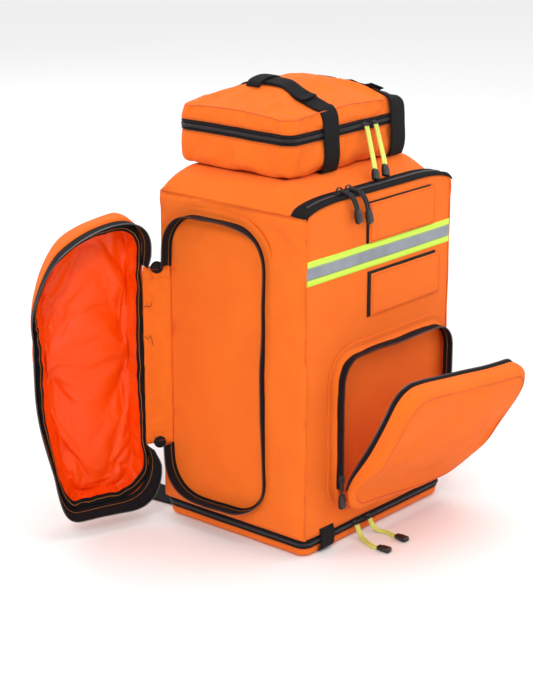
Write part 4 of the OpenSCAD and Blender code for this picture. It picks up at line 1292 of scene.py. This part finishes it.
def pouch_loop(grow, z, bulge=0.0):
    loop = resample(outline(POUCH_W + 2 * grow, POUCH_D + 2 * grow, POUCH_R + grow, 4), count=180, closed=True)
    middle = np.minimum(1, (1 - (loop[:, 0] / (POUCH_W / 2)) ** 4) + (1 - (loop[:, 1] / (POUCH_D / 2)) ** 4))
    out = unit(loop) * (bulge * middle)[:, None]
    return xyz(loop[:, 0] + POUCH_X + out[:, 0], loop[:, 1] + POUCH_Y + out[:, 1], z)


def pouch():
    """The top pouch: its tub and zip on the lid, then its cover and the straps over it."""
    how = (1.2, 1.2, 0.8), 48, 101
    tub = arr([pouch_loop(grow, POUCH_Z0 + up, bulge) for grow, up, bulge in
               ((-30, 0.6, 0), (-9, 0.8, 0), (-3, 3, 0), (-0.6, 8, 0.6), (0, 13, 1.8), (0, 20, 2.4), (0, 27, 2.6),
                (0, 34, 2.2), (0, 41, 1.4), (0, 48.6, 0.2))])
    tub = settled_net(tub, row_mask(tub, 2), closed=True, slack=0.06, pressure=0.6, cap=3, frames=18, stiff=0.2)
    skin("pouch_tub_skin", wobble(tub, *how), ORANGE, "lid", closed=True, thick=1.2, side=-1, rounds=1,
         replaces=("pouch_tub",))
    around = not_behind(pouch_loop(0, POUCH_ZIP))
    for label, body, rows in (
        ("lower", "lid", ((-0.4, 580.0), (1.0, 581.4), (1.3, 584.4), (0.9, 587.9))),
        ("upper", "cover", ((0.9, 588.2), (1.3, 591.6), (1.0, 594.8), (-0.4, 596.2))),
    ):
        band = wobble(arr([pouch_loop(g, z) for g, z in rows]), *how)[:, around]
        skin(f"pouch_zip_tape_{label}", band, ZIP_TAPE, body, thick=0.9, side=-1, replaces=(f"pouch_zip_{label}",))
    middle = wobble(pouch_loop(1.5, POUCH_ZIP), *how)[around]
    out = unit((middle - [POUCH_X, POUCH_Y, 0]) * [1, 1, 0])
    for body, shift in (("lid", -1.2), ("cover", 1.2)):
        scatter("pouch_coils", COIL, body, LOZENGE, LOZENGE_FACES, middle + [0, 0, shift], out, (1.7, 2.9, 2.2), 2.3)
    for z, body in ((578.6, "lid"), (597.8, "cover")):
        stitch(body, wobble(pouch_loop(1.2, z), *how)[around], out, SEAM_SHADE, pitch=3.8, width=0.9)
    for z, body in ((582.4, "lid"), (593.8, "cover")):
        stitch(body, wobble(pouch_loop(2.0, z), *how)[around], out, BLACK_THREAD, pitch=3.0)
    pouch_straps(pouch_cover())


def pouch_cover():
    """The pouch's cover, a wall and a crowned top. Returns the top's points."""
    how = (1.4, 1.4, 1.6), 44, 101
    grid = rounded_grid(POUCH_W - 6, POUCH_D - 6, POUCH_R - 3, 5.0)
    u, v = grid[..., 0] / (POUCH_W / 2), grid[..., 1] / (POUCH_D / 2)
    seam_z = 617.0
    crown = (POUCH_TOP + 3 - seam_z) * (1 - abs(u) ** 2.6) * (1 - abs(v) ** 2.6) ** 0.8
    top = xyz(grid[..., 0] + POUCH_X, grid[..., 1] + POUCH_Y, seam_z + crown - 5 * abs(u * v) ** 1.5)
    border = rim(top)
    top = settled_net(top, edge_mask(top), slack=0.05, pressure=0.7, cap=6, frames=20, stiff=0.25)
    base_loop = border + (border - [POUCH_X, POUCH_Y, 0]) * [3 / (POUCH_W / 2 - 3), 3 / (POUCH_D / 2 - 3), 0]
    walls = []
    for share in np.linspace(0, 1, 7):
        p = base_loop + (border - base_loop) * ease(share)
        p[:, 2] = 595.6 + (border[:, 2] - 595.6) * share
        walls.append(p + unit((p - [POUCH_X, POUCH_Y, 0]) * [1, 1, 0]) * 1.4 * math.sin(share * math.pi))
    walls = arr(walls)
    walls = settled_net(walls, row_mask(walls), closed=True, slack=0.09, pressure=0.8, cap=5, frames=18, stiff=0.15)
    blend_low = ease((walls[..., 2:] - 596) / 12)
    walls = wobble(walls, (1.2, 1.2, 0.8), 48, 101) * (1 - blend_low) + wobble(walls, *how) * blend_low
    top = wobble(top, *how)
    skin("pouch_cover_wall", walls, ORANGE, "cover", closed=True, thick=1.1, side=-1, rounds=1)
    skin("pouch_cover_top", top, ORANGE, "cover", thick=1.1, side=-1, rounds=1, replaces=("pouch_cover",))
    # A thin ridge along the cover's seam in the darker seam thread. The ridge stands for the seam; its darker colour is
    # painted shade of the seam groove.
    seam = wobble(resample(border, step=5, closed=True), *how)
    tube("pouch_cover_seam", seam, 0.8, 0.7, SEAM_SHADE, "cover", closed=True)
    return top


def pouch_straps(top):
    """The two straps over the pouch with their tails, keepers and feet, and the loops behind."""
    faces, _ = net(top)
    surface = BVHTree.FromPolygons([Vector(p) for p in top.reshape(-1, 3)], faces)

    def on_top(x, y, lift):
        for _ in range(20):
            hit = surface.ray_cast(Vector((x, y, 900)), Vector((0, 0, -1)))[0]
            if hit:
                return [x, y, hit.z + lift]
            x, y = POUCH_X + (x - POUCH_X) * 0.99, POUCH_Y + (y - POUCH_Y) * 0.99

    front, back = POUCH_Y - POUCH_D / 2, POUCH_Y + POUCH_D / 2

    def tilted(line):
        """The way across a strap that lies on the crowned top, for each point of its line."""
        ways = []
        for x, y, z in line:
            y = min(max(y, front + 12), back - 12)
            low, high = (on_top(x + side * STRAP_W / 2, y, 0)[2] for side in (-1, 1))
            ways.append([STRAP_W, 0, (high - low) * float(ease((z - 598) / 14))])
        return unit(arr(ways))

    for x, label in zip(STRAP_X, ("left", "right")):
        over = [on_top(x, y, 1.8) for y in np.linspace(front + 6, back - 6, 26)]
        line = [[x, front - 1.2, POUCH_Z0 + 1.5], [x, front - 5.6, 546], [x, front - 6.6, 560], [x, front - 5.4, 578],
                [x, front - 4.6, 594], [x, front - 2.0, 611.5]] + over + [[x, back + 2.4, 612]]
        line = smooth(line, 4)
        strap(f"pouch_strap_{label}", line, tilted(line), STRAP_W, WEB, "cover", replaces=(f"top_strap_{label}",))
        tail = [on_top(x + (y - POUCH_Y) * 0.06, y, 4.0) for y in np.linspace(POUCH_Y + 4, front + 56, 12)]
        end = tail[-1]
        tail.append(on_top(end[0] + 1, end[1] - 12, 5.0))
        tail.append(on_top(end[0] + 2, end[1] - 24, 7.0))
        tail = smooth(tail, 4)
        strap(f"pouch_strap_tail_{label}", tail, tilted(tail), STRAP_W - 3, WEB, "cover")
        y0 = POUCH_Y + 14
        keeper = [[x + dx + more, y0, on_top(x + dx, y0, lift)[2]] for dx, more, lift in
                  ((-STRAP_W / 2 - 7, 0, 2.4), (-STRAP_W / 2, -1, 5.4), (0, 0, 6.6), (STRAP_W / 2, 1, 5.4),
                   (STRAP_W / 2 + 7, 0, 2.4))]
        strap(f"pouch_strap_keeper_{label}", smooth(keeper, 3), [0, 1, 0], 24, WEB, "cover")
        foot = [[x, front + 1, POUCH_Z0 + 1.0], [x, front + 8, POUCH_Z0 + 0.4], [x, front + 40, POUCH_Z0 + 0.2]]
        strap(f"strap_foot_{label}", smooth(foot, 4), ACROSS, STRAP_W, WEB, "lid",
              replaces=("strap_feet",) if label == "left" else ())
        for z in (540, 544):
            line = xyz(x + np.linspace(-STRAP_W / 2 + 3, STRAP_W / 2 - 3, 12), front - 4.0, z)
            stitch("cover", line, FRONT, BLACK_THREAD, pitch=2.8)
    for x, label in ((POUCH_X - 96, "left"), (POUCH_X + 96, "right")):
        ring = xyz(x, back + arr([0, 4.5, 5.0, 4.0, 0]), [542, 545, 553, 560, 563])
        strap(f"pouch_loop_{label}", smooth(ring, 2), ACROSS, 19, WEB, "lid", columns=5)


# ---- harness ----

def padded_panel(name, grid_size, at, depth, material, replaces=()):
    """A back pad: a crowned mesh face over foam, edged with binding."""
    w, h, r = grid_size
    grid = rounded_grid(w, h, r, 6)
    edge = np.minimum(w / 2 - abs(grid[..., 0]), h / 2 - abs(grid[..., 1]))
    channels = 1 - 0.35 * np.exp(-((np.mod(grid[..., 1] + 500, 110) - 55) / 4) ** 2)
    puff = depth * ease(edge / 16 + 0.12) * channels
    rails = xyz(grid[..., 0] + at[0], HALF_D + 0.6 + puff, grid[..., 1] + at[1])
    pad = skin(name, wobble(rails, (0, 1.0, 0), 60, at[0]), material, "pack", flip=True, rounds=1, replaces=replaces)
    loop = resample(rim(rails), step=6, closed=True) * [1, 0, 1] + [0, HALF_D + 1.6, 0]
    tube(name + "_binding", loop, 3.2, 1.8, BIAS, "pack", side=[0, 1, 0], closed=True)


def behind(points, sign=1):
    """Points given as how far out, how far behind the back, and how high."""
    return arr(points) * [sign, 1, 1] + [0, HALF_D, 0]


def shoulder_strap(sign, label):
    """A padded strap with bound edges, its webbing over it and below it, a buckle and a loose tail."""
    bow = [[74, 22.4 + 28 * math.sin(t * math.pi) ** 0.8, 472 - 290 * t] for t in np.linspace(0, 1, 40)[1:]]
    line = resample(smooth(behind([[66, 1.5, 486], [68, 8, 482]] + bow, sign), 5), step=6)
    section = [(a, 5.2 * (1 - (abs(a) / 31.5) ** 4) ** 0.5 * s) for s, seq in
               ((1, np.linspace(-31, 31, 11)), (-1, np.linspace(31, -31, 11))) for a in seq]
    rails = wobble(sweep(line, section, ACROSS), (0.8, 0.8, 0.8), 40, 111)
    pad = skin(f"shoulder_pad_{label}", rails, PAD, "pack", ring=True, rounds=1, replaces=(f"shoulder_strap_{label}",))
    for edge in (-1, 1):
        side_line = sweep(line, [(edge * 30.5, 0)], ACROSS)[0]
        where = "inner" if edge * sign < 0 else "outer"
        tube(f"shoulder_binding_{label}_{where}", side_line, 2.2, 2.6, BIAS, "pack", side=ACROSS)
    over = sweep(line[4:-2], [(0, -6.4)], ACROSS)[0]
    strap(f"shoulder_webbing_{label}", over, ACROSS, 25, WEB, "pack")
    lower = behind([[74, 19, 160], [74, 20, 130], [74, 22.6, 92], [74, 22.8, 60], [74, 21, 42], [75, 10, 34],
                    [76, 1, 29]], sign)
    strap(f"lower_webbing_{label}", smooth(lower, 5), ACROSS, 24, WEB, "pack",
          replaces=("harness_webbing",) if sign < 0 else ())
    tail = behind([[74, 24, 158], [76, 30, 140], [79, 31, 112], [80, 28, 92]], sign)
    strap(f"webbing_tail_{label}", smooth(tail, 4), ACROSS, 22, WEB, "pack")
    buckle = behind([74, 21, 165], sign)
    for dz in (-12, 0, 12):
        block("harness_buckles", PLASTIC, "pack", buckle + [0, 0, dz], (33, 4.2, 7.5), BACK_AXES, 1.2)
    for dx in (-14.5, 14.5):
        block("harness_buckles", PLASTIC, "pack", buckle + [dx, 0, 0], (4.2, 29, 7.5), BACK_AXES, 1.2)


BACK_AXES = (ACROSS, UP, [0, 1, 0])
HIP_ROUTES = {
    "outer": (27, [[129.5, 1.4, 40], [129.5, 2.2, 20], [129.5, 3.4, 5], [129.5, 9, 1.6], [132, 36, 1.2], [137, 62, 1.2],
                   [152, 82, 1.2]]),
    "inner": (24, [[100, 1.4, 40], [100, 2.2, 20], [100, 3.4, 5], [101, 9, 1.6], [107, 40, 1.2], [108, 62, 1.2],
                   [107, 83, 1.2]])}


def harness():
    """The back pads, shoulder straps, hip straps, sternum strap and haul handle."""
    padded_panel("back_pad_left", (88, 330, 24), (-72, 250), 14, MESH_PAD, ("back_pad",))
    padded_panel("back_pad_right", (88, 330, 24), (72, 250), 14, MESH_PAD)
    padded_panel("lumbar_pad", (230, 44, 18), (0, 64), 17, MESH_PAD)
    for sign, label in ((-1, "left"), (1, "right")):
        shoulder_strap(sign, label)
        for where, (width, route) in HIP_ROUTES.items():
            strap(f"hip_strap_{label}_{where}", smooth(behind(route, sign), 4), ACROSS, width, WEB, "pack", thick=1.4)
    sternum = behind([[-58, 47, 372], [-42, 46, 371], [-10, 44, 370], [10, 44, 370], [42, 46, 371], [58, 47, 372]])
    strap("sternum_strap", smooth(sternum, 4), UP, 20, WEB, "pack")
    block("harness_buckles", PLASTIC, "pack", behind([-9, 44.5, 370]), (18, 26, 6.5), BACK_AXES, 1.5)
    block("harness_buckles", PLASTIC, "pack", behind([11, 44.5, 370]), (20, 22, 5.0), BACK_AXES, 1.2)
    handle = smooth(behind([[0, 1.2, 440], [0, 6, 441], [0, 20, 448], [0, 25, 456], [0, 25, 474], [0, 20, 482],
                            [0, 6, 489], [0, 1.2, 490]]), 3)
    strap("haul_handle_web", handle, ACROSS, 27, WEB, "pack", thick=2.6, replaces=("haul_handle",))
    skin("haul_handle_sleeve", sweep(handle[8:-8], oval(15.5, 2.6, 12), ACROSS), PAD, "pack", ring=True)
    for where, z in (("low", 436), ("high", 486)):
        patch = arr([xyz(np.linspace(-24, 24, 9), HALF_D + 0.8, z + dz) for dz in (-9, 0, 9)])
        skin(f"handle_patch_{where}", patch, WEB, "pack", flip=True, thick=1.2, side=1)


camera_and_light()
pulls()
front_panel()
side_skin(-1, "left_skin", "left_panel")
side_skin(1, "right_skin", "right_panel")
back_skin()
lid()
main_zip()
reflective_strip()
flaps()
base()
inside()
front_recess()
front_pocket()
side_pockets()
pouch()
harness()
# The pieces that stand for the buckles' CAD node are gathered, so they are named once they exist.
place_gathered()
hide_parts("harness_buckles")
